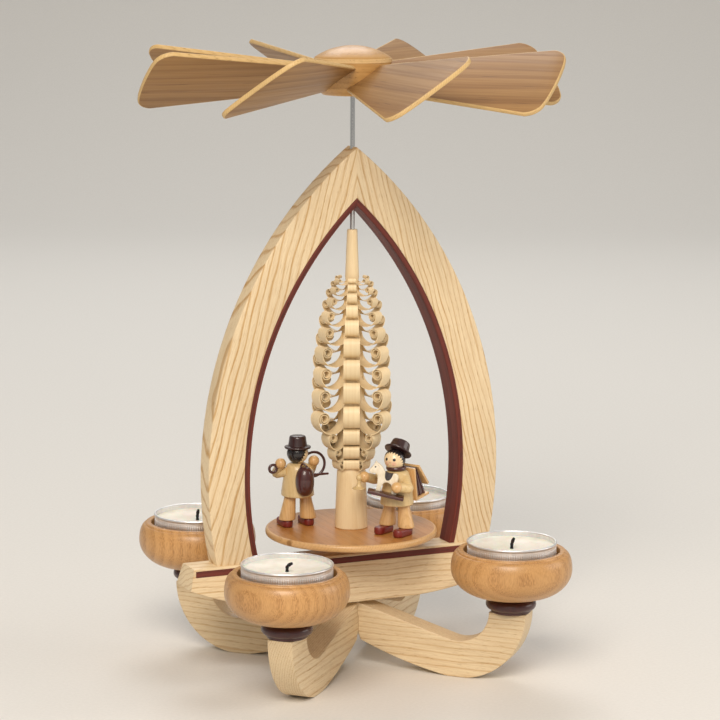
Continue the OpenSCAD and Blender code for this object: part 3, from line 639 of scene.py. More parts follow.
def finishes() -> Finishes:
    """Builds every finish of the pyramid.

    Returns:
        The materials under short names.
    """
    # Ash, planed and waxed: pale, with narrow brown early wood and long open pores
    ash = dict(pale="#E9D5B1", ring="#BE9357", pore="#9E7340", ring_share=0.42, wander_mm=9.0, ripple_mm=3.2,
               fibre_mm=(0.5, 16.0), fibre_show=0.34, pore_mm=(0.3, 3.6), pore_share=0.42, rough=0.48)
    # Padouk, sawn thin and oiled: deep red with darker streaks and fine pores
    padouk = dict(pale="#6E2A1C", ring="#44140D", pore="#280A07", ring_mm=1.8, ring_show=0.6, rough=0.58)
    # Lacquered hardwood for the little figures: smooth with a soft shine
    lacquered = dict(ring_mm=1.1, ring_show=0.35, wander_mm=1.5, pith_mm=(24.0, 9.0), fibre_mm=(0.35, 7.0),
                     pore_mm=(0.25, 1.8), pore_show=0.35, relief_mm=0.02, coat=0.5, coat_rough=0.12)
    glossy = {**lacquered, "coat": 0.8, "coat_rough": 0.08}
    # The boards under the cups are sawn with the rings near their width, so the sides show long lines
    board = {**ash, "ring_mm": 1.0, "ring_show": 0.5, "wander_mm": 3.5, "ripple_mm": 0.7}
    turned_hub = dict(pith_mm=(22.0, 8.0), turn_deg=(0, 90, 20), rough=0.42, coat=0.12)
    table = dict(pith_mm=(60.0, 18.0), turn_deg=(90, 0, 30), coat=0.25)
    made = {
        "ash_left": Wood("ash_planed_left_leg", **ash, ring_mm=3.1, ring_show=0.78, turn_deg=(0, -15, 0),
                         pith_mm=(150.0, 60.0), shift_mm=(13, 7, 40)),
        "ash_right": Wood("ash_planed_right_leg", **ash, ring_mm=2.3, ring_show=0.75, turn_deg=(0, 15, 0),
                          pith_mm=(-150.0, 70.0), shift_mm=(31, 3, 91)),
        "ash_bar": Wood("ash_planed_bar", **ash, ring_mm=2.4, ring_show=0.55, turn_deg=(0, 90, 0),
                        pith_mm=(120.0, 50.0), shift_mm=(2, 11, 5)),
        "ash_board_a": Wood("ash_planed_board_a", **board, turn_deg=(92, -45, 0), pith_mm=(94.0, 19.0)),
        "ash_board_b": Wood("ash_planed_board_b", **board, turn_deg=(88, 45, 0), pith_mm=(-92.0, 24.0)),
        "padouk": Wood("padouk_sawn_and_oiled", **padouk, grain=Grain.STRIP),
        # Beech, turned and lacquered: honey coloured, with short dark flecks
        "beech": Wood("beech_turned_and_lacquered", "#CF9F66", "#BA874E", "#8C5B2C", ring_mm=3.4,
                      ring_show=0.4, fibre_mm=(0.45, 9.0), fibre_show=0.4, pore_mm=(0.26, 2.4),
                      pore_share=0.78, pore_show=0.55, rough=0.38, coat=0.22),
        # Stained and lacquered hardwood collars: nearly black red with a shine
        "collar": Wood("hardwood_stained_dark_red", "#430F0E", "#2A090A", "#160405",
                       **{**lacquered, "ring_mm": 2.0}),
        # Limewood, turned and shaved: cream, even, with a silky lengthwise shimmer
        "lime": Wood("limewood_shaved", "#EFDAB2", "#D9B983", "#C9A46A", ring_mm=1.3, ring_show=0.25,
                     wander_mm=1.5, pith_mm=(30.0, 11.0), fibre_mm=(0.45, 26.0), fibre_show=0.12,
                     pore_mm=(0.3, 6.0), pore_show=0.15, rough=0.5, relief_mm=0.03, grain=Grain.STRIP),
        "trunk": Wood("limewood_turned", "#EFD9B0", "#D8B680", "#C79F66", ring_mm=1.6, ring_show=0.3,
                      wander_mm=2.0, pith_mm=(3.0, 2.0), fibre_mm=(0.5, 30.0), pore_show=0.25, rough=0.46,
                      relief_mm=0.03),
        # Cherry plywood, rotary cut, for the blades: tan brown, long streaks, a few dark ones
        "blade": Wood("cherry_ply_blade", "#A8804E", "#835B32", "#583819", ring_mm=5.5, ring_show=0.55,
                      wander_mm=10.0, pith_mm=(10.0, 46.0), fibre_mm=(0.9, 60.0), fibre_show=0.4,
                      pore_mm=(0.5, 16.0), pore_share=0.12, pore_show=0.8, rough=0.48, relief_mm=0.03,
                      grain=Grain.STRIP),
        # The cut edge of that plywood: paler, with fine lines
        "blade_edge": Wood("cherry_ply_edge", "#D9B880", "#C09A5E", "#9C7642", ring_mm=0.9, ring_show=0.4,
                           pith_mm=(0.0, 60.0), relief_mm=0.03, rough=0.5, grain=Grain.STRIP),
        # Cherry, turned: warm brown, with a paler rim
        "hub": Wood("cherry_turned_hub", "#C79A5C", "#A2743C", "#7C5226", ring_mm=2.4, ring_show=0.45,
                    **turned_hub),
        "hub_band": Wood("cherry_turned_rim", "#E3C08A", "#CBA468", "#A27A42", ring_mm=2.0, ring_show=0.35,
                         **turned_hub),
        # Birch plywood, turned and stained: amber, with a paler edge that has one dark mark. The paler edge
        # is painted light, a lighter copy of the top's wood as if the rim caught the lamp; the dark mark on
        # it is a real knot.
        "table": Wood("birch_ply_turntable", "#BE8444", "#A2682E", "#7E4C20", ring_mm=4.5, ring_show=0.35,
                      wander_mm=8.0, fibre_mm=(0.7, 30.0), rough=0.36, **table),
        "table_edge_painted_lit": Wood("birch_ply_turntable_edge", "#D9AE78", "#C2945A", "#8E6230", ring_mm=1.0,
                           ring_show=0.4, wander_mm=2.0, rough=0.4, knot_mm=(-34.6, -13.3, 59.3, 1.9),
                           **table),
        # Beech rod, plain: pale tan
        "dowel": Wood("beech_dowel", "#DDB784", "#C79B63", "#9A6D3A"),
        # Maple and cherry, lacquered: cream and honey coloured, close grained
        "coat": Wood("maple_lacquered_coat", "#DCC08C", "#C6A66E", "#A78652", **lacquered),
        "honey": Wood("cherry_lacquered_honey", "#DDB47C", "#BE8C4E", "#946430",
                      **{**lacquered, "ring_show": 0.5}),
        # Stained and lacquered hardwood: deep red brown under a bright clear coat
        "dark": Wood("hardwood_lacquered_dark_red", "#47120F", "#2C0A09", "#180505", **glossy),
        "hat": Wood("hardwood_lacquered_black_red", "#33100F", "#200809", "#120405", **glossy),
        "shoe": Wood("hardwood_lacquered_red", "#7C2019", "#551210", "#300908", **lacquered),
        # Spun aluminium foil cup: bright, slightly streaked
        "shell": Surface("aluminium_drawn_cup", "#F6F6F8", "#ECEDEF", (2.0, 2.0, 9.0), 0.003, (0.36, 0.46),
                         metallic=1.0),
        # Paraffin, burnt once: white, a little see-through, with a satin skin
        "wax": Surface("paraffin_once_melted", "#F2EFE6", "#E4E0D4", (7.0, 7.0, 7.0), 0.05, (0.3, 0.5),
                       ior=1.44, subsurface=0.35),
        # Cotton, charred: black and rough
        "wick": Surface("cotton_wick_charred", "#1B1816", "#0C0B0A", (0.4, 0.4, 0.8), 0.15, (0.75, 0.95)),
        # Steel wire, drawn: bright, with fine lines along it
        "steel": Surface("steel_wire_drawn", "#E2E3E4", "#CBCDCF", (0.3, 0.3, 12.0), 0.003, (0.12, 0.2),
                         metallic=1.0),
        # Brass, turned: yellow with a dull shine
        "brass": Surface("brass_turned_bush", "#C9A04A", "#A9803A", (0.5, 0.5, 0.5), 0.006, (0.25, 0.4),
                         metallic=1.0),
        # Glass, pressed: clear and smooth
        "glass": Surface("glass_pressed_pivot", "#E4EEF0", "#D4E2E6", (2.0, 2.0, 2.0), 0.004, (0.04, 0.1),
                         transmission=0.9),
        # Lacquer paint on wood: black with a shine, white softer, grey nearly matt
        "paint_black": Surface("lacquer_paint_black", "#161314", "#262123", (0.7, 0.7, 0.7), 0.03,
                               (0.2, 0.32), coat=0.4),
        "paint_white": Surface("lacquer_paint_white", "#F5EAD6", "#E8DABF", (1.6, 1.6, 3.0), 0.03,
                               (0.3, 0.42), coat=0.3),
        "paint_grey": Surface("lacquer_paint_dark_grey", "#4A4244", "#322C2E", (0.8, 0.8, 0.8), 0.03,
                              (0.4, 0.55)),
    }
    return {key: finish.material() for key, finish in made.items()}


def freeze(piece: bpy.types.Object, tree: bpy.types.NodeTree, values: dict[str, Any],
           crease: float = CREASE) -> None:
    """Runs a Geometry Nodes tree on a piece and keeps the result as its mesh.

    Args:
        piece: Object that takes the result.
        tree: Tree to run.
        values: Values of the tree's named inputs.
        crease: Angle in degrees past which an edge stays sharp.
    """
    modifier = piece.modifiers.new("nodes", "NODES")
    modifier.node_group = tree
    for item in tree.interface.items_tree:
        if item.item_type == "SOCKET" and item.in_out == "INPUT" and item.name in values:
            modifier[item.identifier] = values[item.name]
    graph = bpy.context.evaluated_depsgraph_get()
    graph.update()
    mesh = bpy.data.meshes.new_from_object(piece.evaluated_get(graph), depsgraph=graph)
    piece.modifiers.remove(modifier)
    old = piece.data
    piece.data = mesh
    bpy.data.meshes.remove(old)
    mesh.name = piece.name
    soften(mesh, crease)


@dataclass
class RingRepeat:
    """Geometry Nodes tree that sets copies of a piece in a ring round the spindle."""

    count: int
    radius_mm: float
    phase_deg: float

    def tree(self) -> bpy.types.NodeTree:
        """Builds the tree, or gives the one that is there.

        Returns:
            A tree with inputs for the count, the radius, the phase and two finishes.
        """
        kept = bpy.data.node_groups.get("ring_of_copies")
        if kept:
            return kept
        nodes = new_group("ring_of_copies", {
            "Piece": "Geometry", "Count": "Int", "Radius": "Float", "Phase": "Float", "Finish": "Material",
            "Edge finish": "Material"}, "Ring")
        put, given = nodes.put, nodes.put("NodeGroupInput")
        points = put("GeometryNodePoints", {"Count": given["Count"]})[0]
        step = put(MATH, tau, given["Count"], operation="DIVIDE")[0]
        index = put("GeometryNodeInputIndex")[0]
        angle = put(MATH, index, step, given["Phase"], operation="MULTIPLY_ADD")[0]
        spin, arm = put(JOIN, {"Z": angle})[0], put(JOIN, {"X": given["Radius"]})[0]
        place = put(ROTATE, {"Vector": arm, "Angle": angle}, rotation_type="Z_AXIS")[0]
        points = put("GeometryNodeSetPosition", {"Geometry": points, "Position": place})[0]
        ring = put("GeometryNodeInstanceOnPoints", {"Points": points, "Instance": given["Piece"],
                                                    "Rotation": spin})[0]
        chance = put("FunctionNodeRandomValue", {"Seed": 7}, data_type="FLOAT_VECTOR")[0]
        ring = put(STORE, {"Geometry": ring, "Name": "copy", "Value": chance}, data_type="FLOAT_VECTOR",
                   domain="INSTANCE")[0]
        ring = put("GeometryNodeRealizeInstances", ring)[0]
        number = put("GeometryNodeInputMaterialIndex")[0]
        edge = put("FunctionNodeCompare", {2: number, 3: 1}, data_type="INT", operation="EQUAL")[0]
        plain = put("FunctionNodeBooleanMath", edge, operation="NOT")[0]
        for finish, part in (("Edge finish", edge), ("Finish", plain)):
            ring = put("GeometryNodeSetMaterial", {"Geometry": ring, "Material": given[finish],
                                                   "Selection": part})[0]
        put("NodeGroupOutput", ring)
        return nodes.tree

    def apply(self, piece: bpy.types.Object, finish: Material, edge: Material | None = None) -> None:
        """Turns a piece into its ring of copies, as a plain mesh.

        Args:
            piece: One copy, drawn at the spindle.
            finish: Material of the copies.
            edge: Material of the faces with the second finish.
        """
        freeze(piece, self.tree(), {"Count": self.count, "Radius": self.radius_mm * MM,
                                    "Phase": radians(self.phase_deg), "Finish": finish,
                                    "Edge finish": edge or finish})


@dataclass
class CrossBase:
    """Two boards that cross under the bar and rise to a post under each cup."""

    thick: float = 11.0
    reach: float = 73.2
    hook_r: float = 30.3
    throat_r: float = 14.0
    flat_depth: float = 0.3
    under_r: float = 180.0
    under_slope: float = 10.6
    drop: float = 1.4
    throat_turn: float = 15.0
    ease: float = 0.5

    @property
    def top(self) -> float:
        """Gives the height of the boards."""
        return self.hook_r - self.flat_depth

    def arm(self) -> tuple[Profile, Profile]:
        """Draws one arm of a board from the middle outwards.

        Returns:
            The under edge from the middle to the tip, and the upper edge from the tip to the middle.
        """
        hook_u = self.reach - (self.hook_r + self.throat_r) / 2
        slope = radians(self.under_slope)
        under_u = hook_u + (self.under_r - self.hook_r) * sin(slope)
        under_z = self.top + (self.under_r - self.hook_r) * cos(slope)
        first = 270 - degrees(asin(under_u / self.under_r))
        under = arc((under_u, under_z), self.under_r, first, 270 - self.under_slope, 20)[:-1]
        hook = arc((hook_u, self.top), self.hook_r, 270 - self.under_slope, 360, 44)
        low = [(u, max(z, 0.0)) for u, z in under + hook]
        throat = arc((hook_u, self.top), self.throat_r, 0, -90 - self.throat_turn, 30)
        return low, throat + [(self.thick / 2, self.top - self.drop)]

    def outline(self, lower_half: bool) -> Profile:
        """Draws a whole board with its half of the lap joint.

        Args:
            lower_half: Whether the board keeps the lower half at the crossing.

        Returns:
            The outline along the board and up.
        """
        low, high = self.arm()
        half, edge = self.thick / 2, low[0][1]
        lap = (edge + self.top) / 2
        right = [(half, edge), *((u, z) for u, z in low if u > half), *high]
        right = right + [(half, lap)] if lower_half else [(half, lap), *right, (half, self.top)]
        return right + [(-u, z) for u, z in reversed(right)]

    def build(self, finish: Finishes) -> None:
        """Builds both boards.

        Args:
            finish: The pyramid's materials.
        """
        half = self.thick / 2
        for name, angle, lower in (("a", 45.0, True), ("b", -45.0, False)):
            place = turn(angle) @ turn(90, "X")
            board = Shape().slab(self.outline(lower), -half, half, self.ease, place=place)
            board.mounted(f"cross_board_{name}_sawn", finish[f"ash_board_{name}"], Body.STAND, "ash",
                          f"cross_board_{name}")


@dataclass
class BaseBar:
    """The bar under the arch: sloping sides, arched underside and a dark strip let into each long face."""

    bottom: float = 30.0
    height: float = 20.3
    length: float = 151.0
    end_h: float = 9.0
    top_w: float = 13.5
    batter: float = 13.0
    flat: float = 40.0
    strip_h: float = 2.6
    strip_depth: float = 2.0
    strip_lip: float = 1.0
    strip_stop: float = 0.8
    strip_sunk: float = 0.06
    strip_ease: float = 0.12
    top_ease: float = 0.5
    low_ease: float = 0.3
    least: float = 0.004

    @property
    def top(self) -> float:
        """Gives the height of the bar's upper face."""
        return self.bottom + self.height

    @property
    def slope(self) -> float:
        """Gives how far the sides and ends lean out for each step down."""
        return tan(radians(self.batter))

    def half_width(self, z: float) -> float:
        """Gives half of the bar's depth at a height."""
        return self.top_w / 2 + (self.top - z) * self.slope

    def underside(self, x: float) -> float:
        """Gives the height of the underside at a place along the bar.

        Args:
            x: Place along the bar, from its middle.

        Returns:
            The height.
        """
        end_x = self.length / 2 + self.end_h * self.slope
        rise, run = self.height - self.end_h, end_x - self.flat / 2
        radius = (run ** 2 + rise ** 2) / (2 * rise)
        out = max(abs(x) - self.flat / 2, 0.0)
        return self.bottom + radius - sqrt(radius ** 2 - out ** 2)

    def section(self, x: float, groove: float) -> list[Point]:
        """Draws the section of the bar across its length.

        Args:
            x: Place along the bar.
            groove: Depth of the grooves for the strips there.

        Returns:
            Points of the section, anticlockwise seen from its far end.
        """
        half = self.half_width
        high = self.top - max(abs(x) - self.length / 2, 0.0) / self.slope
        low = min(self.underside(x), high - 5 * self.least)
        strip_top = min(self.top - self.strip_lip, high - 3 * self.least)
        strip_low = min(self.top - self.strip_lip - self.strip_h, high - 4 * self.least)
        wall = half(strip_top) - groove
        ease, soft = min(self.top_ease, (high - strip_top) * 0.6), self.low_ease
        side = [(half(low) - soft, low), (half(low + soft), low + min(soft, (strip_low - low) / 2)),
                (half(strip_low), strip_low), (min(wall, half(strip_low)), strip_low), (wall, strip_top),
                (half(strip_top), strip_top), (half(high - ease), high - ease),
                (half(high - ease * 0.3) - ease * 0.3, high - ease * 0.3), (half(high) - ease, high)]
        return [(x, y, z) for y, z in side] + [(x, -y, z) for y, z in reversed(side)]

    def build(self, finish: Finishes) -> None:
        """Builds the bar and its strips.

        Args:
            finish: The pyramid's materials.
        """
        end = self.length / 2
        tip, stop = end + self.end_h * self.slope - 0.05, end - self.strip_stop
        stations = [(stop * k / 24, self.strip_depth) for k in range(25)]
        plain = [stop + 0.001, end - 0.25, end, *(end + (tip - end) * k / 4 for k in (1, 2, 3, 4))]
        stations += [(x, 0.0) for x in plain]
        rows = [self.section(x, g) for x, g in [(-x, g) for x, g in reversed(stations[1:])] + stations]
        faces = bands(len(rows[0]), len(rows), capped=True)
        bar = Shape().add([p for row in rows for p in row], faces)
        bar.mounted("base_bar_planed", finish["ash_bar"], Body.STAND, "ash", "base_bar", crease=30)
        high = self.top - self.strip_lip
        low, back = high - self.strip_h, self.half_width(high) - self.strip_depth
        section = [(back, low), (self.half_width(low) - self.strip_sunk, low),
                   (self.half_width(high) - self.strip_sunk, high), (back, high)]
        strips = Shape()
        for angle in (0, 180):
            place = turn(angle) @ turn(90) @ turn(90, "X")
            strips.slab(section, -stop, stop, self.strip_ease, place=place)
        strips.mounted("bar_strips_let_in", finish["padouk"], Body.STAND, "padouk", "bar_strips")


@dataclass
class Arch:
    """The pointed arch: two bent-sawn ash halves with a dark liner inside."""

    radius: float = 178.5
    half_w: float = 68.0
    apex: float = 226.2
    band: float = 16.5
    depth: float = 10.2
    liner_t: float = 2.3
    foot: float = 50.3
    wire_r: float = 1.6
    steps: int = 72

    def half(self, side: int, outer: float, inner: float, ease: float) -> Shape:
        """Builds one half of a pointed band.

        Args:
            side: One for the right half, minus one for the left.
            outer: Outer radius.
            inner: Inner radius.
            ease: Radius of the long edges.

        Returns:
            The band, with the hole for the wire at its peak.
        """
        cx = self.radius - self.half_w
        cz = self.apex - sqrt(self.radius ** 2 - cx ** 2)
        wide = self.depth / 2
        across = [0.0, 0.5, 0.95, 1.3, 1.52, self.wire_r, 2.4, 3.6]
        across += [wide - part * ease for part in (1.0, 0.5, 0.12, 0.0)]
        across = [-y for y in reversed(across[1:])] + across

        def rounded(y: float) -> float:
            """Gives how far the edge draws in at a depth."""
            over = max(abs(y) - (wide - ease), 0.0)
            return ease - sqrt(max(ease ** 2 - over ** 2, 0.0))

        ring = [(outer - rounded(y), y) for y in across] + [(inner + rounded(y), y) for y in reversed(across)]
        count, top = len(ring), self.steps * len(ring)
        points: list[Point] = []
        grain: list[Vector] = []
        for k in range(self.steps + 1):
            for r, y in ring:
                start = asin((self.foot - cz) / r)
                end = acos((cx + sqrt(max(self.wire_r ** 2 - y ** 2, 0.0))) / r)
                angle = start + (end - start) * k / self.steps
                points.append((side * (r * cos(angle) - cx), y, cz + r * sin(angle)))
                grain.append(Vector((r, y + 40.0 * side, angle * (outer + inner) / 2)))
        faces = bands(count, self.steps + 1)
        for j in range(len(across) - 1):
            foot = (j, count - 1 - j, count - 2 - j, j + 1)
            faces += [foot, tuple(top + i for i in reversed(foot))]
        if side < 0:
            faces = [tuple(reversed(f)) for f in faces]
        shape = Shape().add(points, faces)
        shape.grain = grain
        return shape

    def build(self, finish: Finishes) -> None:
        """Builds both halves and both liners.

        Args:
            finish: The pyramid's materials.
        """
        inner = self.radius - self.band
        for side, name in ((-1, "left"), (1, "right")):
            self.half(side, self.radius, inner, 0.5).mounted(
                f"arch_{name}_sawn", finish[f"ash_{name}"], Body.STAND, "ash", f"arch_{name}")
            self.half(side, inner, inner - self.liner_t, 0.2).mounted(
                f"liner_{name}_bent", finish["padouk"], Body.STAND, "padouk", f"liner_{name}")


@dataclass
class Cups:
    """Four turned cups on dark collars, one over each post."""

    reach: float = 73.2
    count: int = 4
    phase: float = 45.0
    collar_z: float = 30.0
    collar_h: float = 7.2
    collar_d: float = 21.6
    cup_h: float = 20.0
    cup_d: float = 51.8
    rim_d: float = 46.4
    foot_d: float = 22.0
    well_d: float = 41.0
    well_depth: float = 12.7

    def cup_profile(self) -> Profile:
        """Draws the half section of a cup.

        Returns:
            Radius and height of each point.
        """
        belly, mid, edge = self.cup_d / 2, 0.6 * self.cup_h, (self.rim_d - self.well_d) / 6
        foot, rim, well = self.foot_d / 2, self.rim_d / 2, self.well_d / 2
        swings = [radians(5 * k) for k in range(1, 18)]
        line: Profile = [(0.0, 0.0), (foot - 0.4, 0.0), (foot, 0.25)]
        line += [(foot + (belly - foot) * sin(q), mid - mid * cos(q)) for q in swings]
        line.append((belly, mid))
        line += [(rim + (belly - rim) * sin(q), mid + (self.cup_h - edge - mid) * cos(q))
                 for q in reversed(swings)]
        line += arc((rim - edge, self.cup_h - edge), edge, 0, 90, 6)
        floor = self.cup_h - self.well_depth
        line += arc((well + 0.5, self.cup_h - 0.5), 0.5, 90, 180, 4)
        return line + [(well, floor + 0.6), (well - 0.6, floor), (0.0, floor)]

    def collar_profile(self) -> Profile:
        """Draws the half section of a collar: a bead between two flat ends.

        Returns:
            Radius and height of each point.
        """
        bulge = 0.32 * self.collar_h
        neck, mid = self.collar_d / 2 - bulge, self.collar_h / 2
        line: Profile = [(0.0, 0.0), (neck - 0.3, 0.0), (neck, 0.3), (neck + 0.1, mid - bulge)]
        line += arc((neck, mid), bulge, -72, 72, 14)
        return line + [(neck + 0.1, mid + bulge), (neck, self.collar_h - 0.1), (0.0, self.collar_h)]

    def build(self, finish: Finishes) -> None:
        """Builds the cups and the collars as rings of copies.

        Args:
            finish: The pyramid's materials.
        """
        cups, cup_z = [f"cup_{i}" for i in range(1, self.count + 1)], self.collar_z + self.collar_h
        for name, profile, sides, base, wood, slot, nodes in (
                ("cups_turned", self.cup_profile(), 96, cup_z, "beech", "beech", cups),
                ("cup_collars_turned", self.collar_profile(), 64, self.collar_z, "collar", "dark_wood",
                 ["cup_collars"])):
            made = Shape().lathe(profile, sides, place=shift(0, 0, base)).piece(name, finish[wood])
            RingRepeat(self.count, self.reach, self.phase).apply(made, finish[wood])
            mount(made, Body.STAND, slot, *nodes)


@dataclass
class Tealight:
    """One tealight: a crimped aluminium cup, a burnt wax disc and a bent wick."""

    number: int
    lean: float
    reach: float = 73.2
    base_z: float = 44.7
    diameter: float = 38.0
    height: float = 16.0
    wall: float = 0.5
    wax_h: float = 12.0
    wax_rise: float = 1.6
    wax_play: float = 0.05
    wick_d: float = 1.4
    wick_h: float = 5.2
    ribs: int = 120
    rib_in: float = 0.12
    lean_side: float = -24.0

    def shell_profile(self) -> Profile:
        """Draws the half section of the cup with its rolled rim.

        Returns:
            Radius and height of each point.
        """
        r, h, w = self.diameter / 2, self.height, self.wall
        wall, inside = r - self.rib_in, r - w - 0.1
        lip = arc((r - w / 2, h - 0.2), 0.5, -60, 200, 12)
        return [(0.0, 0.0), (r - 1.6, 0.0), (r - 1.2, 0.25), (r - 0.5, 0.3), (wall, 0.9), (wall, h - 1.2),
                *lip, (inside, h - 1.0), (inside, w + 0.4), (r - w - 0.6, w), (0.0, w)]

    def wax_profile(self, low: float, top: float) -> Profile:
        """Draws the half section of the wax, with a skin that climbs to the rim.

        Args:
            low: Height of its under face.
            top: Height of its upper face.

        Returns:
            Radius and height of each point.
        """
        wide, rise = self.diameter / 2 - self.wall - 0.15, self.wax_rise
        skin = [(wide, top + rise * 0.96), (wide - 0.9, top + rise * 0.8), (wide - 3.5, top + rise * 0.5),
                (wide - 8.0, top + rise * 0.2), (4.2, top), (1.9, top - 0.02), (0.9, top + 0.2)]
        return [(0.0, low), (wide, low), *flowing(skin), (0.0, top + 0.25)]

    def build(self, finish: Finishes) -> None:
        """Builds the three pieces.

        Args:
            finish: The pyramid's materials.
        """
        i, body = self.number, f"tealight_{self.number}"
        place = turn(90 * i - 45) @ shift(self.reach, 0, self.base_z)
        rib = Shape().slab([(-0.3, -0.2), (0.1, -0.2), (0.1, 0.2), (-0.3, 0.2)], 1.4, self.height - 2.0, 0.08)
        crimp = rib.piece(f"tealight_shell_{i}_crimp", finish["shell"])
        RingRepeat(self.ribs, self.diameter / 2 - self.rib_in, 0.0).apply(crimp, finish["shell"])
        crimp.data.transform(Matrix.Scale(MM, 4) @ place @ Matrix.Scale(1 / MM, 4))
        cup = Shape().lathe(self.shell_profile(), 96, place=place)
        cup.mounted(f"tealight_shell_{i}_drawn", finish["shell"], body, "shell_metal", f"tealight_shell_{i}")
        mount(crimp, body, "shell_metal", f"tealight_shell_{i}")
        low = self.wall + self.wax_play
        top = low + self.wax_h
        wax = Shape().lathe(self.wax_profile(low, top), 72, place=place)
        wax.mounted(f"tealight_wax_{i}_melted", finish["wax"], body, "wax", f"tealight_wax_{i}")
        knee = 0.5 * self.wick_h
        out, up = sin(radians(self.lean)) * knee, cos(radians(self.lean)) * knee
        line = flowing([(x, 0.0, top + z) for x, z in (
            (0.0, -2.0), (0.0, 0.0), (0.02, knee * 0.7), (out * 0.12, knee * 0.98),
            (out * 0.55, knee + up * 0.6), (out, knee + up * 0.94))], 4)
        thick = [self.wick_d / 2 * (1.0 + 0.12 * sin(5.1 * k)) * (1.0 if k < len(line) - 2 else 0.6)
                 for k in range(len(line))]
        wick = Shape().tube(line, thick, 12, place=place @ turn(self.lean_side - 90 * i + 45))
        wick.mounted(f"tealight_wick_{i}_burnt", finish["wick"], body, "wick", f"tealight_wick_{i}")


@dataclass
class Rotor:
    """The bladed wheel on its hub, and the turntable below."""

    hub_z: float = 248.2
    hub_d: float = 33.0
    body_h: float = 15.6
    band_h: float = 1.8
    dome_h: float = 5.2
    blades: int = 8
    blade_t: float = 1.9
    blade_up: float = 0.4
    pitch: float = 34.0
    tip_r: float = 92.0
    root_r: float = 8.5
    root_w: float = 18.6
    tip_w: float = 43.0
    corner: float = 7.6
    tip_curve: float = 130.0
    phase: float = -3.6
    table_z: float = 57.8
    table_d: float = 74.6
    table_t: float = 3.0

    def blade_outline(self) -> Profile:
        """Draws a flat blade along X.

        Returns:
            The outline, anticlockwise.
        """
        tip = self.tip_w / 2
        grow = (self.tip_w - self.root_w) / (self.tip_r - self.hub_d / 2)
        root = (self.root_w - (self.hub_d / 2 - self.root_r) * grow) / 2
        corner = (self.tip_r - self.corner - 1, tip - self.corner)
        swing = degrees(asin((tip - self.corner) / self.tip_curve))
        return ([(self.root_r, root), (self.root_r, -root)]
                + arc((corner[0], -corner[1]), self.corner, -84, -swing, 12)
                + arc((self.tip_r - self.tip_curve, 0), self.tip_curve, -swing, swing, 14)[1:-1]
                + arc(corner, self.corner, swing, 84, 12))

    def build(self, finish: Finishes) -> None:
        """Builds the blades, the hub and the turntable.

        Args:
            finish: The pyramid's materials.
        """
        r, band, half = self.hub_d / 2, self.body_h - self.band_h, self.blade_t / 2
        place = shift(0, 0, self.hub_z + band / 2 + self.blade_up) @ turn(self.pitch, "X")
        blade = Shape().slab(self.blade_outline(), -half, half, 0.5, 0, 1, place,
                             lambda p: Vector((p.y, p.z, p.x)))
        made = blade.piece("blades_sawn", finish["blade"], finish["blade_edge"])
        RingRepeat(self.blades, 0.0, self.phase).apply(made, finish["blade"], finish["blade_edge"])
        mount(made, Body.ROTOR, "blade_wood", *(f"blade_{i}" for i in range(1, self.blades + 1)))
        dome_r = (r ** 2 + self.dome_h ** 2) / (2 * self.dome_h)
        rise = degrees(asin((r - 0.5) / dome_r))
        dome = arc((0.0, self.body_h + self.dome_h - dome_r), dome_r, 90 - rise, 90, 16)[:-1]
        profile = [(0.0, 0.0), (r - 3.9, 0.0), (r - 3.4, 0.3), (r - 1.2, 2.6), (r - 0.9, 3.2),
                   (r - 0.15, band - 0.3), (r - 0.15, band - 0.1), (r, band + 0.1), (r, self.body_h - 0.3),
                   (r - 0.2, self.body_h), *dome, (0.0, self.body_h + self.dome_h)]
        hub = Shape().lathe(profile, 96, lambda z: int(band < z < self.body_h - 0.1), shift(0, 0, self.hub_z))
        hub = hub.piece("hub_turned", finish["hub"], finish["hub_band"], crease=24)
        mount(hub, Body.ROTOR, "blade_wood", "hub")
        r, thick, edge = self.table_d / 2, self.table_t, self.table_t * 0.4
        profile = [(0.0, 0.0), *arc((r - edge, edge), edge, -90, 0, 8),
                   *arc((r - edge, thick - edge), edge, 0, 90, 8), (0.0, thick)]
        # The rim takes the paler edge finish, which is painted light on the rim; the top keeps the plain
        # wood.
        table = Shape().lathe(profile, 128, lambda z: int(0.01 < z < thick - 0.01), shift(0, 0, self.table_z))
        table = table.piece("turntable_turned", finish["table"], finish["table_edge_painted_lit"])
        mount(table, Body.ROTOR, "table_wood", "turntable")


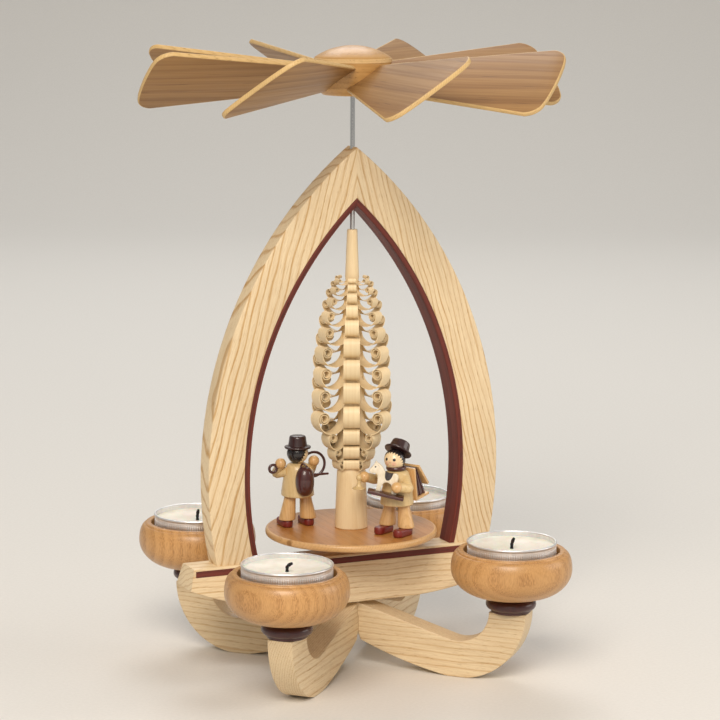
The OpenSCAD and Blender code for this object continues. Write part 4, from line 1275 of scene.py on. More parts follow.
@dataclass
class ShavedTree:
    """The tree: a turned trunk with columns of shavings that were curled with a chisel.

    Tiers count from the top. The tree grows wider down to its widest tier and draws in below it.
    """

    base: float = 60.8
    height: float = 130.0
    trunk_d: float = 14.4
    top_d: float = 4.4
    start: float = 26.2
    tiers: int = 12
    columns: int = 6
    phase: float = -114.0
    reach: float = 18.3
    top_reach: float = 7.8
    low_reach: float = 7.8
    strip_w: float = 7.0
    strip_top_w: float = 2.8
    stagger: float = 2.3
    shaving_t: float = 0.34
    seed: int = 4
    widest: float = 8.0
    draw_in: float = 0.65
    top_share: float = 0.38
    more_share: float = 0.17
    more_tiers: float = 5.0
    low_share: float = 0.57
    uneven: float = 0.018
    root_in: float = 1.2
    thin_share: float = 0.036
    slim_rate: float = 4.248
    slim_start: float = -2.644
    shaved_top: float = 109.5
    shaved_depth: float = 0.9
    shaved_run: float = 4.0
    grain_step: float = 0.13
    grain_apart: tuple[float, float] = (40.0, 90.0)

    def sizes(self) -> dict[str, float]:
        """Gives the lengths that the nodes take, in metres, by the names of their inputs.

        Returns:
            The lengths under those names.
        """
        lengths = {"Reach": self.reach, "Top reach": self.top_reach, "Low reach": self.low_reach,
                   "Start": self.start, "Stagger": self.stagger, "Width": self.strip_w,
                   "Top width": self.strip_top_w, "Thickness": self.shaving_t, "Trunk": self.trunk_d,
                   "Trunk top": self.top_d, "Base": self.base, "Height": self.height}
        return {name: length * MM for name, length in lengths.items()}

    def one_curl(self) -> Shape:
        """Draws one shaving in its own measures, for the tree's nodes to size.

        Each point holds its place from the outside of the loop and from the tier's foot, in heights of its
        tier, as X and Z, and its side of the strip as Y. The grain attribute holds how far it lies on the way
        to the trunk, and which way the strip is thick there.

        Returns:
            A closed strip that sags from the trunk in a half circle, turns up on the outside and rolls in.
        """
        sag, root, bends, steps, rolled, outer_r, less_r = 0.7, 1.05, 16, 66, radians(760), 0.29, 0.16
        stations: list[tuple[float, float, float, float]] = [(0.0, root, 1.0, -pi / 2)]
        for swing in (pi * k / bends for k in range(bends)):
            stations.append((0.0, sag * (1 - sin(swing)), (1 + cos(swing)) / 2, swing - pi / 2))
        x, z, step = 0.0, sag, rolled / steps
        for k in range(steps + 1):
            heading = pi / 2 + rolled * k / steps
            stations.append((x, z, 0.0, heading))
            size = outer_r - less_r * k / steps
            x += size * step * cos(heading + step / 2)
            z += size * step * sin(heading + step / 2)
        points, hints = [], []
        for x, z, link, heading in stations:
            for side, layer in ((-0.5, 0.0), (0.5, 0.0), (0.5, 1.0), (-0.5, 1.0)):
                points.append(Vector((x, side, z)) / MM)
                hints.append(Vector((link, -sin(heading) * layer, cos(heading) * layer)))
        shape = Shape().add(points, bands(4, len(stations), capped=True))
        shape.grain = hints
        return shape

    def tree(self) -> bpy.types.NodeTree:
        """Builds the Geometry Nodes tree that sizes and places the shavings.

        Returns:
            A tree with inputs for the tiers, the columns and the sizes.
        """
        nodes = new_group("shaved_curls", {
            "Curl": "Geometry", **dict.fromkeys(("Tiers", "Columns", "Seed"), "Int"),
            **dict.fromkeys(("Phase", *self.sizes()), "Float"), "Finish": "Material"}, "Curls")
        put, given = nodes.put, nodes.put("NodeGroupInput")
        tiers, columns = given["Tiers"], given["Columns"]

        def between(one: Any, two: Any, share: Socket) -> Socket:
            """Gives a value on the way from one to another."""
            whole = put(MATH, two, one, operation="SUBTRACT")[0]
            return put(MATH, whole, share, one, operation="MULTIPLY_ADD")[0]

        # Each point is one shaving: its column, and its tier counted from the top
        index = put("GeometryNodeInputIndex")[0]
        column = put(MATH, index, tiers, operation="DIVIDE")[0]
        column = put(MATH, column, operation="FLOOR")[0]
        passed = put(MATH, column, tiers, operation="MULTIPLY")[0]
        from_low = put(MATH, index, passed, operation="SUBTRACT")[0]
        last = put(MATH, tiers, 1.0, operation="SUBTRACT")[0]
        tier = put(MATH, last, from_low, operation="SUBTRACT")[0]
        # Its reach from the axis swells down to the widest tier and is drawn in below it
        low_tier = put(MATH, tier, self.widest + 0.5, operation="GREATER_THAN")[0]
        upper = put(MATH, tier, self.widest, operation="MINIMUM")[0]
        upper = put(MATH, upper, pi / 2 / self.widest, operation="MULTIPLY")[0]
        swell = put(MATH, upper, operation="SINE")[0]
        lower = put(MATH, tier, self.widest, operation="SUBTRACT")[0]
        lower = put(MATH, lower, 0.0, operation="MAXIMUM")[0]
        lower = put(MATH, lower, self.tiers - 1 - self.widest, operation="DIVIDE")[0]
        fall = put(MATH, lower, self.draw_in, operation="POWER")[0]
        grown = between(given["Top reach"], given["Reach"], swell)
        reach = between(grown, between(given["Reach"], given["Low reach"], fall), low_tier)
        # The height of its loop is a share of the reach, and the loops of a column stand on one another
        share = put(MATH, tier, self.more_tiers, operation="DIVIDE")[0]
        share = put(MATH, share, 1.0, operation="MINIMUM")[0]
        share = put(MATH, share, self.more_share, self.top_share, operation="MULTIPLY_ADD")[0]
        high = put(MATH, reach, between(share, self.low_share, low_tier), operation="MULTIPLY")[0]
        below = put("GeometryNodeAccumulateField", {0: high, "Group ID": column},
                    data_type="FLOAT")["Trailing"]
        foot = put(MATH, below, put(MATH, given["Base"], given["Start"])[0])[0]
        # Every second column is staggered, most at the middle tiers, and no reach is quite even
        swing = put(MATH, tier, pi, pi / 2, operation="MULTIPLY_ADD")[0]
        swing = put(MATH, swing, tiers, operation="DIVIDE")[0]
        swing = put(MATH, swing, operation="SINE")[0]
        second = put(MATH, column, 2.0, operation="MODULO")[0]
        second = put(MATH, second, -2.0, 1.0, operation="MULTIPLY_ADD")[0]
        swing = put(MATH, swing, second, operation="MULTIPLY")[0]
        around = put(MATH, column, tau, operation="MULTIPLY")[0]
        around = put(MATH, around, columns, operation="DIVIDE")[0]
        chance = put("FunctionNodeRandomValue", {"Seed": given["Seed"], 2: -1.0, 3: 1.0},
                     data_type="FLOAT")[1]
        uneven = put(MATH, chance, self.uneven, 1 - self.uneven, operation="MULTIPLY_ADD")[0]
        kept = {"reach": put(MATH, reach, uneven, operation="MULTIPLY")[0], "high": high,
                "foot": put(MATH, swing, given["Stagger"], foot, operation="MULTIPLY_ADD")[0],
                "bearing": put(MATH, given["Phase"], around)[0], "roll": chance}
        count = put(MATH, tiers, columns, operation="MULTIPLY")[0]
        points = put("GeometryNodePoints", {"Count": count})[0]
        for name, value in kept.items():
            points = put(STORE, {"Geometry": points, "Name": name, "Value": value}, data_type="FLOAT",
                         domain="POINT")[0]
        # The one shaving is copied to every point, then sized and turned by what the points hold
        curls = put("GeometryNodeInstanceOnPoints", {"Points": points, "Instance": given["Curl"]})[0]
        curls = put("GeometryNodeRealizeInstances", curls)[0]
        place = put("ShaderNodeSeparateXYZ", put("GeometryNodeInputPosition")[0])
        hint = put("ShaderNodeSeparateXYZ", put(STORED, {"Name": "grain"}, data_type="FLOAT_VECTOR")[0])
        outside, loop, foot, bearing, roll = (put(STORED, {"Name": name}, data_type="FLOAT")[0]
                                              for name in kept)
        level = put(MATH, loop, 0.5, foot, operation="MULTIPLY_ADD")[0]
        level = put(MATH, level, given["Base"], operation="SUBTRACT")[0]
        level = put(MATH, level, given["Height"], operation="DIVIDE")[0]
        girth = between(given["Trunk"], given["Trunk top"], level)
        trunk = put(MATH, girth, 0.5, -self.root_in * MM, operation="MULTIPLY_ADD")[0]
        inwards = put(MATH, outside, trunk, operation="SUBTRACT")[0]
        inwards = put(MATH, hint[0], inwards, operation="MULTIPLY")[0]
        thick = put(MATH, loop, self.thin_share, operation="MULTIPLY")[0]
        thick = put(MATH, given["Thickness"], thick, operation="MINIMUM")[0]
        out = put(MATH, place[0], loop, outside, operation="MULTIPLY_ADD")[0]
        out = put(MATH, out, inwards, operation="SUBTRACT")[0]
        out = put(MATH, hint[1], thick, out, operation="MULTIPLY_ADD")[0]
        up = put(MATH, place[2], loop, foot, operation="MULTIPLY_ADD")[0]
        up = put(MATH, hint[2], thick, up, operation="MULTIPLY_ADD")[0]
        slim = put(MATH, level, self.slim_rate, self.slim_start, operation="MULTIPLY_ADD",
                   use_clamp=True)[0]
        width = between(given["Width"], given["Top width"], slim)
        across = put(MATH, place[1], width, operation="MULTIPLY")[0]
        spot = put(ROTATE, {"Vector": put(JOIN, out, across, up)[0], "Angle": bearing},
                   rotation_type="Z_AXIS")[0]
        # The grain attribute then takes the place in the wood: across the strip, and along it
        beside = put(MATH, across, 1 / MM, operation="MULTIPLY")[0]
        aside, ahead = (put(MATH, roll, apart, operation="MULTIPLY")[0] for apart in self.grain_apart)
        along = put(MATH, index, self.grain_step, operation="MULTIPLY")[0]
        streak = put(JOIN, beside, aside, put(MATH, along, ahead)[0])[0]
        curls = put(STORE, {"Geometry": curls, "Name": "streak", "Value": streak},
                    data_type="FLOAT_VECTOR", domain="POINT")[0]
        curls = put("GeometryNodeSetPosition", {"Geometry": curls, "Position": spot})[0]
        streak = put(STORED, {"Name": "streak"}, data_type="FLOAT_VECTOR")[0]
        curls = put(STORE, {"Geometry": curls, "Name": "grain", "Value": streak},
                    data_type="FLOAT_VECTOR", domain="POINT")[0]
        for name in ("streak", *kept):
            curls = put("GeometryNodeRemoveAttribute", {"Geometry": curls, "Name": name})[0]
        curls = put("GeometryNodeSetMaterial", {"Geometry": curls, "Material": given["Finish"]})[0]
        put("NodeGroupOutput", curls)
        return nodes.tree

    def girth(self, z: float) -> float:
        """Gives the trunk's radius at a height above its foot.

        Args:
            z: That height.

        Returns:
            The radius.
        """
        full = (self.trunk_d + (self.top_d - self.trunk_d) * z / self.height) / 2
        shaved = min((z - self.start + 1.0) / self.shaved_run, (self.shaved_top - z) / self.shaved_run, 1.0)
        return full - self.shaved_depth * max(shaved, 0.0)

    def build(self, finish: Finishes) -> None:
        """Builds the trunk and its shavings.

        Args:
            finish: The pyramid's materials.
        """
        line = [(self.girth(z), z) for z in (0.3 + (self.height - 0.6) * k / 64 for k in range(65))]
        line = [(0.0, 0.0), (line[0][0] - 0.25, 0.0), *line, (line[-1][0] - 0.25, self.height),
                (0.0, self.height)]
        trunk = Shape().lathe(line, 48, place=shift(0, 0, self.base))
        trunk.mounted("tree_trunk_turned", finish["trunk"], Body.ROTOR, "limewood", "tree")
        curls = self.one_curl().piece("tree_curls_shaved", finish["lime"])
        freeze(curls, self.tree(), {
            "Tiers": self.tiers, "Columns": self.columns, "Seed": self.seed, "Phase": radians(self.phase),
            **self.sizes(), "Finish": finish["lime"]}, crease=50)
        mount(curls, Body.ROTOR, "limewood", "tree")


@dataclass
class Figure:
    """A small turned figure on the turntable; it faces its own +X, with its left hand at +Y."""

    name: str
    around: float
    radius: float
    turned: float
    leg_h: float
    head: tuple[float, float]
    elbows: tuple[Point, Point]
    hands: tuple[Point, Point]
    hat_r: tuple[float, float]
    hat_tilt: float
    hat_seat: float
    crown_h: float
    face_turn: float
    table_top: float = 60.8
    shoe: Point = (11.0, 4.7, 3.3)
    leg_gap: float = 5.0
    leg_splay: float = 1.5
    shoulder: float = 28.0
    coat_r: float = 7.2
    head_r: float = 4.5
    hand_r: float = 2.4
    sleeve_r: float = 2.2
    sleeve_out: float = 4.4
    sleeve_drop: float = 3.6

    def at(self, x: float, y: float, z: float) -> Matrix:
        """Gives a place in the figure's own measures."""
        stand = turn(self.around) @ shift(self.radius, 0, self.table_top) @ turn(self.turned - 90)
        return stand @ shift(x, y, z)

    @property
    def place(self) -> Matrix:
        """Gives the figure's place on the turntable."""
        return self.at(0, 0, 0)

    @property
    def head_place(self) -> Matrix:
        """Gives the middle of the head."""
        return self.at(*self.head, self.shoulder + self.head_r - 0.2)

    @property
    def coat_z(self) -> float:
        """Gives the height of the hem."""
        return self.shoe[2] + self.leg_h

    def on_face(self, left: float, up: float) -> Matrix:
        """Gives a place on the face that looks outwards along its own Z.

        Args:
            left: Degrees to the figure's left.
            up: Degrees upwards.

        Returns:
            The place.
        """
        return (self.head_place @ turn(self.face_turn + left) @ turn(90 - up, "Y")
                @ shift(0, 0, self.head_r))

    def shoes(self) -> Shape:
        """Builds two shoes with round toes.

        Returns:
            The shape, in place.
        """
        length, width, height = self.shoe
        toe, heel = (length - width) / 2, (width - length) / 2
        outline = arc((toe, 0), width / 2, -90, 90, 12) + arc((heel, 0), width / 2, 90, 270, 12)
        made = Shape()
        for side in (-1, 1):
            made.slab(outline, 0, height, 0.8, place=self.at(2.6, side * self.leg_gap, 0))
        return made

    def legs(self) -> Shape:
        """Builds two wide trouser legs.

        Returns:
            The shape, in place.
        """
        h = self.leg_h
        side_line = [(3.45, 0.1), (3.6, 0.7), (3.2, 0.4 * h), (2.75, 0.75 * h), (2.5, h)]
        line = [(0.0, 0.0), (3.25, 0.0), *flowing(side_line, 6), (0.0, h)]
        made = Shape()
        for side in (-1, 1):
            lean = Matrix.Identity(4)
            lean[1][2] = -side * self.leg_splay / h
            made.lathe(line, 32, place=self.at(0, side * self.leg_gap, self.shoe[2]) @ lean)
        return made

    def coat(self) -> Shape:
        """Builds the coat with its round shoulders.

        Returns:
            The shape, in place.
        """
        h, r = self.shoulder - self.coat_z, self.coat_r
        side = [(r, 0.35), (r - 0.2, 0.2 * h), (r - 0.8, 0.48 * h), (r - 1.3, 0.68 * h), (5.35, h - 2.2),
                (4.6, h - 0.75), (3.0, h)]
        line = [(0.0, 0.0), (r - 0.35, 0.0), *flowing(side), (0.0, h)]
        return Shape().lathe(line, 48, place=self.at(0, 0, self.coat_z))

    def sleeves(self) -> Shape:
        """Builds both sleeves, each bent at the elbow.

        Returns:
            The shape, in place.
        """
        made = Shape()
        for side, elbow, hand in zip((1, -1), self.elbows, self.hands):
            shoulder = Vector((0.0, side * self.sleeve_out, self.shoulder - self.sleeve_drop))
            bend, end = Vector(elbow), Vector(hand)
            wrist = bend + (end - bend) * 0.86
            line = flowing([shoulder, shoulder.lerp(bend, 0.6), bend + (bend - (shoulder + wrist) / 2) * 0.08,
                            bend.lerp(wrist, 0.5), wrist], 6)
            thick = [self.sleeve_r * (1.02 - 0.08 * k / len(line)) for k in range(len(line))]
            made.tube(line, thick, 24, place=self.place)
        return made

    def hands_shape(self) -> Shape:
        """Builds two round hands, a little slimmer towards the fingers.

        Returns:
            The shape, in place.
        """
        made = Shape()
        r = self.hand_r
        ball = [(r * cos(radians(a)) * (1.0 if a < 10 else 0.99), r * sin(radians(a)) * 0.98)
                for a in range(-72, 90, 9)]
        for elbow, hand in zip(self.elbows, self.hands):
            along = (Vector(hand) - Vector(elbow)).normalized()
            tilt = along.to_track_quat("Z", "Y").to_matrix().to_4x4()
            made.lathe([(0.0, -r * 0.96), *ball, (0.0, r * 0.98)], 28, place=self.at(*hand) @ tilt)
        return made

    def head_shape(self) -> Shape:
        """Builds the head with a small nose.

        Returns:
            The shape, in place.
        """
        r = self.head_r
        ball = [(r * cos(radians(a)), r * sin(radians(a))) for a in range(-70, 90, 5)]
        made = Shape().lathe([(0.0, -r * 0.94), *ball, (0.0, r)], 48, place=self.head_place)
        dot = [(0.0, -0.5), *arc((0.0, 0.0), 0.5, -60, 60, 6), (0.0, 0.5)]
        return made.lathe(dot, 16, place=self.on_face(0.0, -2.0))

    def eyes(self) -> Shape:
        """Builds two painted dot eyes, a hair proud of the skin.

        Returns:
            The shape, in place.
        """
        made = Shape()
        for side in (-1, 1):
            dot = [(0.0, -0.1), (0.55, -0.1), (0.66, 0.0), (0.5, 0.1), (0.0, 0.16)]
            made.lathe(dot, 18, place=self.on_face(side * 24.0, 10.0))
        return made

    def hair(self) -> Shape:
        """Builds the black hair: a cap on the back of the head with a spiky fringe.

        Returns:
            The shape, in place.
        """
        r = self.head_r + 0.12
        spikes, rows = 44, 14
        dice = random.Random(11)
        reach = []
        for k in range(spikes):
            bearing = abs((k / spikes * 360 + 180) % 360 - 180)
            spiky = 1.0 if bearing < 55 else 0.2
            lock = 7.0 * exp(-((bearing - 78) / 16) ** 2)
            reach.append(radians(107 + lock + spiky * ((3.4 if k % 2 else -3.2) + dice.uniform(-1.6, 1.6))))
        points: list[Point] = [(0.0, 0.0, r)]
        for row in range(1, rows + 1):
            for k in range(spikes):
                polar, angle = reach[k] if row == rows else radians(100) * row / rows, tau * k / spikes
                thick = r + (0.1 if k % 2 else 0.0) - (0.2 if row == rows else 0.0)
                out = thick * sin(polar)
                points.append((out * cos(angle), out * sin(angle), thick * cos(polar)))
        faces = [(0, 1 + k, 1 + (k + 1) % spikes) for k in range(spikes)]
        faces += [tuple(1 + i for i in reversed(face)) for face in bands(spikes, rows)]
        return Shape().add(points, faces, place=self.head_place @ turn(self.face_turn) @ turn(-65, "Y"))

    def hat(self) -> Shape:
        """Builds the hat: a thin brim and a crown that draws in.

        Returns:
            The shape, in place.
        """
        brim, crown = self.hat_r
        base, high = self.head_r * self.hat_seat, self.crown_h
        seat = sqrt((self.head_r + 0.02) ** 2 - base ** 2)
        side = [(crown * wide, base + high * up)
                for wide, up in ((0.91, 0.6), (0.85, 0.87), (0.7, 0.98), (0.3, 1.0))]
        line = [(seat, base), (brim - 0.2, base), *arc((brim - 0.45, base + 0.45), 0.45, -70, 80, 6),
                (crown + 0.35, base + 0.95), (crown + 0.02, base + 1.15),
                *flowing([(crown - 0.05, base + 1.4), *side], 4), (0.0, base + high)]
        return Shape().lathe(line, 48, place=self.head_place @ turn(-self.hat_tilt, "Y"))

    def face_finish(self) -> Surface:
        """Gives the painted skin, with two pink cheeks.

        Returns:
            The finish.
        """
        marks = [("#EBB49A", -22.0, -14.0, 1.5), ("#EBB49A", 22.0, -14.0, 1.5), ("#E2A88C", 0.0, -2.0, 0.8)]
        spots = tuple((tint, tuple(self.on_face(left, up).to_translation()), size)
                      for tint, left, up, size in marks)
        # Lacquered maple ball, painted: cream skin with a soft shine
        return Surface(f"{self.name}_face_painted", "#F3DCB6", "#EBD0A4", (1.5, 1.5, 3.0), 0.02, (0.3, 0.42),
                       coat=0.3, spots=spots)

    def dress(self, finish: Finishes) -> None:
        """Builds the pieces that both figures have.

        Args:
            finish: The pyramid's materials.
        """
        name = self.name
        skin = self.face_finish().material()
        for part, shape, coat, slot, node in (
                ("shoes", self.shoes(), finish["shoe"], "dark_wood", "figure_shoes"),
                ("legs", self.legs(), finish["honey"], "leg_wood", "figure_legs"),
                ("hands", self.hands_shape(), finish["honey"], "leg_wood", "figure_hands"),
                ("head", self.head_shape(), skin, "face_wood", "figure_heads"),
                ("coat", self.coat(), finish["coat"], "coat_wood", f"{name}_coat"),
                ("sleeves", self.sleeves(), finish["coat"], "coat_wood", f"{name}_sleeves"),
                ("hat", self.hat(), finish["hat"], "dark_wood", f"{name}_hat")):
            shape.mounted(f"{name}_{part}_turned", coat, Body.ROTOR, slot, node)
        for part, shape in (("eyes", self.eyes()), ("hair", self.hair())):
            shape.mounted(f"{name}_{part}_painted", finish["paint_black"], Body.ROTOR, "dark_wood", crease=60)


class Seller(Figure):
    """The toy seller: a tray with a white horse in front, and a rack of goods on the back."""

    def build(self, finish: Finishes) -> None:
        """Builds the seller and the wares.

        Args:
            finish: The pyramid's materials.
        """
        self.dress(finish)
        scarf = Shape().lathe(arc((3.4, 0.0), 1.0, -180, 162, 19), 40, closed=True,
                              place=self.at(0.3, -0.3, self.shoulder + 0.75))
        scarf.mounted("seller_scarf_turned", finish["dark"], Body.ROTOR, "dark_wood", "seller_scarf")
        tray = self.at(12, -1, 19.0) @ turn(32) @ turn(-12, "X")
        board = Shape().slab([(-3.2, -5.0), (3.2, -5.0), (3.2, 10.7), (-3.2, 10.7)], 0, 1.3, 0.25, place=tray)
        board.mounted("seller_tray_sawn", finish["dark"], Body.ROTOR, "dark_wood", "seller_tray")
        self.build_horse(tray @ shift(-1.2, 0.8, 1.3) @ turn(-90) @ turn(90, "X"), finish)
        knob = arc((0.0, 4.9), 1.4, -52, 84, 12)
        bell = Shape().lathe([(0.0, 0.0), (2.75, 0.0), (2.9, 0.15), (2.9, 0.45), (2.7, 0.6), (1.7, 0.85),
                              (1.3, 1.3), (0.95, 2.1), (0.8, 3.0), *knob, (0.0, 6.3)], 32,
                             place=self.at(13.1, -10.6, 20.4))
        bell.mounted("seller_bell_turned", finish["coat"], Body.ROTOR, "coat_wood", "seller_toys")
        self.build_rack(finish)

    def build_horse(self, stand: Matrix, finish: Finishes) -> None:
        """Builds the toy horse with its saddle and eyes.

        Args:
            stand: Place of the horse, X along it and Y up.
            finish: The pyramid's materials.
        """
        outline = [(2.6, 0), (2.5, 1.6), (2.55, 3.2), (2.85, 5.4), (3.4, 6.9), (4.6, 7.25), (5.7, 7.05),
                   (6.5, 7.2), (7.0, 7.9), (6.8, 8.7), (6.1, 9.8), (5.55, 10.8), (5.35, 11.7), (5.0, 12.5),
                   (4.3, 12.0), (3.2, 11.5), (1.8, 10.5), (0.9, 9.5), (0.1, 8.8), (-1.4, 8.35), (-2.9, 8.4),
                   (-4.1, 8.95), (-5.2, 8.6), (-5.8, 7.4), (-5.75, 5.4), (-5.9, 3.2), (-6.1, 1.6), (-6.3, 0),
                   (-4.4, 0), (-4.1, 1.6), (-3.4, 3.6), (-2.2, 4.35), (-0.9, 4.35), (0.1, 3.4), (0.5, 1.6),
                   (0.7, 0)]
        smooth = flowing(outline + outline[:1], 3)[:-1]
        horse = Shape().slab([(x, max(z, 0.0)) for x, z in smooth], -1.1, 1.1, 0.3, place=stand)
        horse.mounted("seller_horse_sawn", finish["paint_white"], Body.ROTOR, "toy_white", "seller_toys")
        saddle = [(0.2, 8.95), (-1.2, 8.5), (-2.6, 8.5), (-3.2, 8.7), (-2.9, 6.9), (-2.1, 5.6), (-1.0, 5.4),
                  (-0.1, 6.6)]
        marks = Shape().slab(flowing(saddle + saddle[:1], 3)[:-1], -1.16, 1.16, 0.08, place=stand)
        for side, angle in ((-1, 180), (1, 0)):
            marks.lathe([(0.0, -0.05), (0.36, -0.05), (0.34, 0.06), (0.0, 0.1)], 14,
                        place=stand @ shift(4.75, 10.1, side * 1.1) @ turn(angle, "X"))
        marks.mounted("seller_horse_saddle", finish["paint_grey"], Body.ROTOR, "toy_white", "seller_toys")

    def build_rack(self, finish: Finishes) -> None:
        """Builds the rack and the bundle of goods on the back.

        Args:
            finish: The pyramid's materials.
        """
        back = self.at(-self.coat_r - 0.12, 0, self.coat_z + 0.7) @ turn(180) @ turn(-8, "Y")
        upright = back @ turn(90, "X")
        rack, goods, half, sheets = Shape(), Shape(), 5.3, 5
        for outline in ([(0, 0), (1, 0), (1, 14.4), (0, 14.4)], [(1, 0), (9.6, 0), (9.6, 1), (1, 1)],
                        [(9.2, 4.6), (10.2, 5.2), (4.2, 14.8), (3.2, 14.2)]):
            rack.slab(outline, -half, half, 0.2, place=upright)
        rack.mounted("seller_rack_sawn", finish["honey"], Body.ROTOR, "coat_wood", "seller_rack")
        low, high = [(1.25, 1.1), (8.2, 1.1)], [(1.15, 14.2), (3.0, 14.0)]
        for k in range(sheets):
            corners = ((low, k), (low, k + 0.86), (high, k + 0.86), (high, k))
            outline = [tuple(Vector(a).lerp(Vector(b), share / sheets)) for (a, b), share in corners]
            half = 4.4 - 0.25 * (k % 2)
            goods.slab(outline, -half, half, 0.16, place=upright)
        goods.mounted("seller_goods_bundle", finish["dark"], Body.ROTOR, "dark_wood", "seller_goods")


class Pedlar(Figure):
    """The pedlar: an oval pack on the back, a hoop with its stick and a small ring."""

    def build(self, finish: Finishes) -> None:
        """Builds the pedlar and the load.

        Args:
            finish: The pyramid's materials.
        """
        self.dress(finish)
        oval = [(4.1 * cos(q) ** 0.7, 6.2 * (1 + sin(q) / sin(radians(75))))
                for q in (radians(-75 + 5 * k) for k in range(31))]
        pack = Shape().lathe([(0.0, 0.0), *oval, (0.0, 12.4)], 40, place=self.at(-8.0, 0, self.coat_z + 1.4))
        strap = [(-6.9, -1.6, -1.2), (-6.6, -1.2, -0.2), (-5.6, 0.0, 0.5), (-6.6, 1.2, -0.2),
                 (-6.9, 1.6, -1.2)]
        loop = flowing([(x, y, self.shoulder + z) for x, y, z in strap], 6)
        pack.tube(loop, [0.42] * len(loop), 12, place=self.place)
        pack.mounted("pedlar_pack_turned", finish["dark"], Body.ROTOR, "dark_wood", "pedlar_pack")
        rings = Shape()
        for middle, size in (((2.5, -8.4, 26.2), 5.4), ((0.4, 11.4, 26.2), 1.7)):
            rings.lathe(arc((size, 0.0), 0.6, -180, 150, 11), 44, closed=True,
                        place=self.at(*middle) @ turn(90, "Y"))
        stick = [(0.4, -6.8, 22.0), (0.4, -10.8, 22.0), (0.4, -14.7, 22.0)]
        rings.tube(stick, [0.6, 0.56, 0.5], 14, place=self.place)
        rings.mounted("pedlar_hoops_turned", finish["dark"], Body.ROTOR, "dark_wood", "pedlar_hoops")


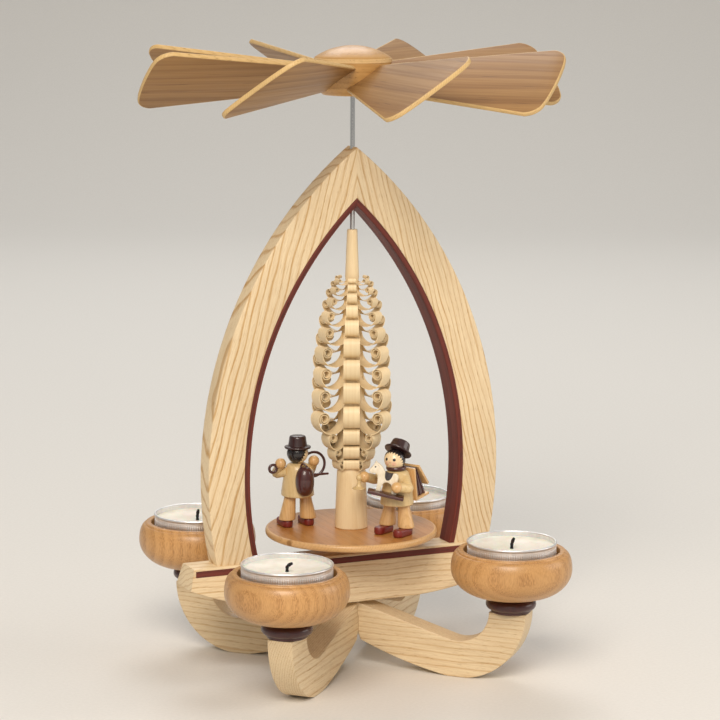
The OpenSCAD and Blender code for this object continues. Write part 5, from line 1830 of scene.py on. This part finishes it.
@dataclass
class Studio:
    """Pale sweep, soft lamps and the photograph's camera."""

    azimuth: float = 24.052
    elevation: float = 9.274
    roll: float = 0.215
    focal_px: float = 2675.66
    distance: float = 1151.43
    target_z: float = 137.2
    centre_px: tuple[float, float] = (351.762, 353.032)
    frame_px: float = 720.0

    def camera(self) -> None:
        """Sets the camera where the photograph was taken from."""
        a, e, roll = (radians(angle) for angle in (self.azimuth, self.elevation, self.roll))
        ahead = Vector((sin(a) * cos(e), cos(a) * cos(e), -sin(e)))
        right = Vector((cos(a), -sin(a), 0.0))
        up = right.cross(ahead)
        level, tall = cos(roll) * right + sin(roll) * up, cos(roll) * up - sin(roll) * right
        place = (Vector((0, 0, self.target_z)) - self.distance * ahead) * MM
        lens = bpy.data.cameras.new("photograph_camera")
        lens.sensor_width = 36.0
        lens.lens = self.focal_px / self.frame_px * lens.sensor_width
        lens.shift_x = (self.frame_px / 2 - self.centre_px[0]) / self.frame_px
        lens.shift_y = (self.centre_px[1] - self.frame_px / 2) / self.frame_px
        camera = bpy.data.objects.new("photograph_camera", lens)
        turned = Matrix((level, tall, -ahead)).transposed().to_4x4()
        camera.matrix_world = Matrix.Translation(place) @ turned
        bpy.context.scene.collection.objects.link(camera)
        bpy.context.scene.camera = camera

    def lamp(self, name: str, place: Point, size: float, watts: float, colour: str) -> None:
        """Hangs a square soft lamp that looks at the object.

        Args:
            name: Name of the lamp.
            place: Place in metres.
            size: Side of the lamp in metres.
            watts: Power.
            colour: Colour of the light.
        """
        light = bpy.data.lights.new(name, "AREA")
        light.shape, light.size, light.energy = "SQUARE", size, watts
        light.color = linear(colour)[:3]
        made = bpy.data.objects.new(name, light)
        aim = Vector((0, 0, 0.13)) - Vector(place)
        made.matrix_world = Matrix.Translation(place) @ aim.to_track_quat("-Z", "Y").to_matrix().to_4x4()
        bpy.context.scene.collection.objects.link(made)

    def sweep(self) -> None:
        """Lays a pale floor that curves up to a backdrop."""
        paper = Surface("paper_sweep_pale", "#E4E2DE", "#E1DFDB", (1.5, 1.5, 1.5), 0.02, (0.7, 0.85))
        line = [(-3.0, 0.0), *arc((1.6, 0.9), 0.9, -90, 0, 16), (2.5, 3.2)]
        points = [(x, y, z) for y, z in line for x in (-3.2, 3.2)]
        faces = [(2 * k, 2 * k + 1, 2 * k + 3, 2 * k + 2) for k in range(len(line) - 1)]
        mesh = bpy.data.meshes.new("paper_sweep")
        mesh.from_pydata([turn(-self.azimuth) @ Vector(p) for p in points], [], faces)
        mesh.materials.append(paper.material())
        mesh.shade_smooth()
        made = bpy.data.objects.new("paper_sweep", mesh)
        bpy.context.scene.collection.objects.link(made)
        made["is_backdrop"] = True

    def build(self) -> None:
        """Builds the whole studio."""
        scene = bpy.context.scene
        scene.view_settings.view_transform = "Standard"
        scene.world = bpy.data.worlds.new("studio_air")
        scene.world.use_nodes = True
        nodes = Nodes(scene.world.node_tree)
        air = nodes.put("ShaderNodeBackground", {"Color": linear("#F4F2EE"), "Strength": 0.36})
        nodes.put("ShaderNodeOutputWorld", {"Surface": air[0]})
        self.camera()
        self.lamp("key_softbox", (-0.75, -1.25, 1.25), 0.9, 28.0, "#FFF4E6")
        self.lamp("fill_softbox", (1.5, -0.7, 0.7), 1.0, 8.0, "#FFF8F0")
        self.lamp("back_softbox", (0.5, 1.3, 1.5), 0.9, 12.0, "#FFFFFF")
        self.sweep()


def carried_over(frame: dict[str, Any], finish: Finishes) -> None:
    """Gives each node that stays in view its finish.

    Args:
        frame: The loaded frame.
        finish: The pyramid's materials.
    """
    for node, key in (("base_screw", "steel"), ("arch_dowels", "dowel"), ("cup_dowels", "dowel"),
                      ("guide_bush", "brass"), ("pivot_cup", "glass"), ("pivot_needle", "steel"),
                      ("spindle", "steel")):
        mesh = frame["nodes"][node].data
        mesh.materials.clear()
        mesh.materials.append(finish[key])
        LOG.info("%s: %s", node, finish[key].name)


def main() -> None:
    """Builds the pyramid and its studio, and works out both boxes."""
    logging.basicConfig(level=logging.INFO, format="%(message)s")
    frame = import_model()
    solid_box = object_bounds()
    finish = finishes()
    tealights = [Tealight(number, lean) for number, lean in enumerate((18.0, 12.0, 62.0, 24.0), 1)]
    seller = Seller(
        "seller", around=-57.0, radius=23.4, turned=-3.0, leg_h=9.7, head=(0.8, -0.8),
        elbows=((3.6, 8.2, 21.4), (4.6, -8.4, 23.6)), hands=((9.2, 6.3, 22.4), (11.0, -9.4, 25.4)),
        hat_r=(6.1, 4.6), hat_tilt=37.0, hat_seat=0.84, crown_h=5.2, face_turn=9.0)
    pedlar = Pedlar(
        "pedlar", around=154.0, radius=23.3, turned=26.0, leg_h=10.4, head=(0.0, 0.0),
        elbows=((4.4, 7.8, 23.4), (4.4, -7.8, 23.4)), hands=((0.4, 7.8, 28.2), (0.4, -7.8, 28.2)),
        hat_r=(5.8, 4.2), hat_tilt=0.0, hat_seat=0.5, crown_h=5.6, face_turn=-85.0)
    for part in (CrossBase(), BaseBar(), Arch(), Cups(), *tealights, Rotor(), ShavedTree(), seller, pedlar):
        part.build(finish)
    carried_over(frame, finish)
    Studio().build()
    boxes = {"cad": solid_box, "visual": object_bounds()}
    {key: [[round(v, 5) for v in corner] for corner in box] for key, box in boxes.items()}


if __name__ == "__main__":
    main()
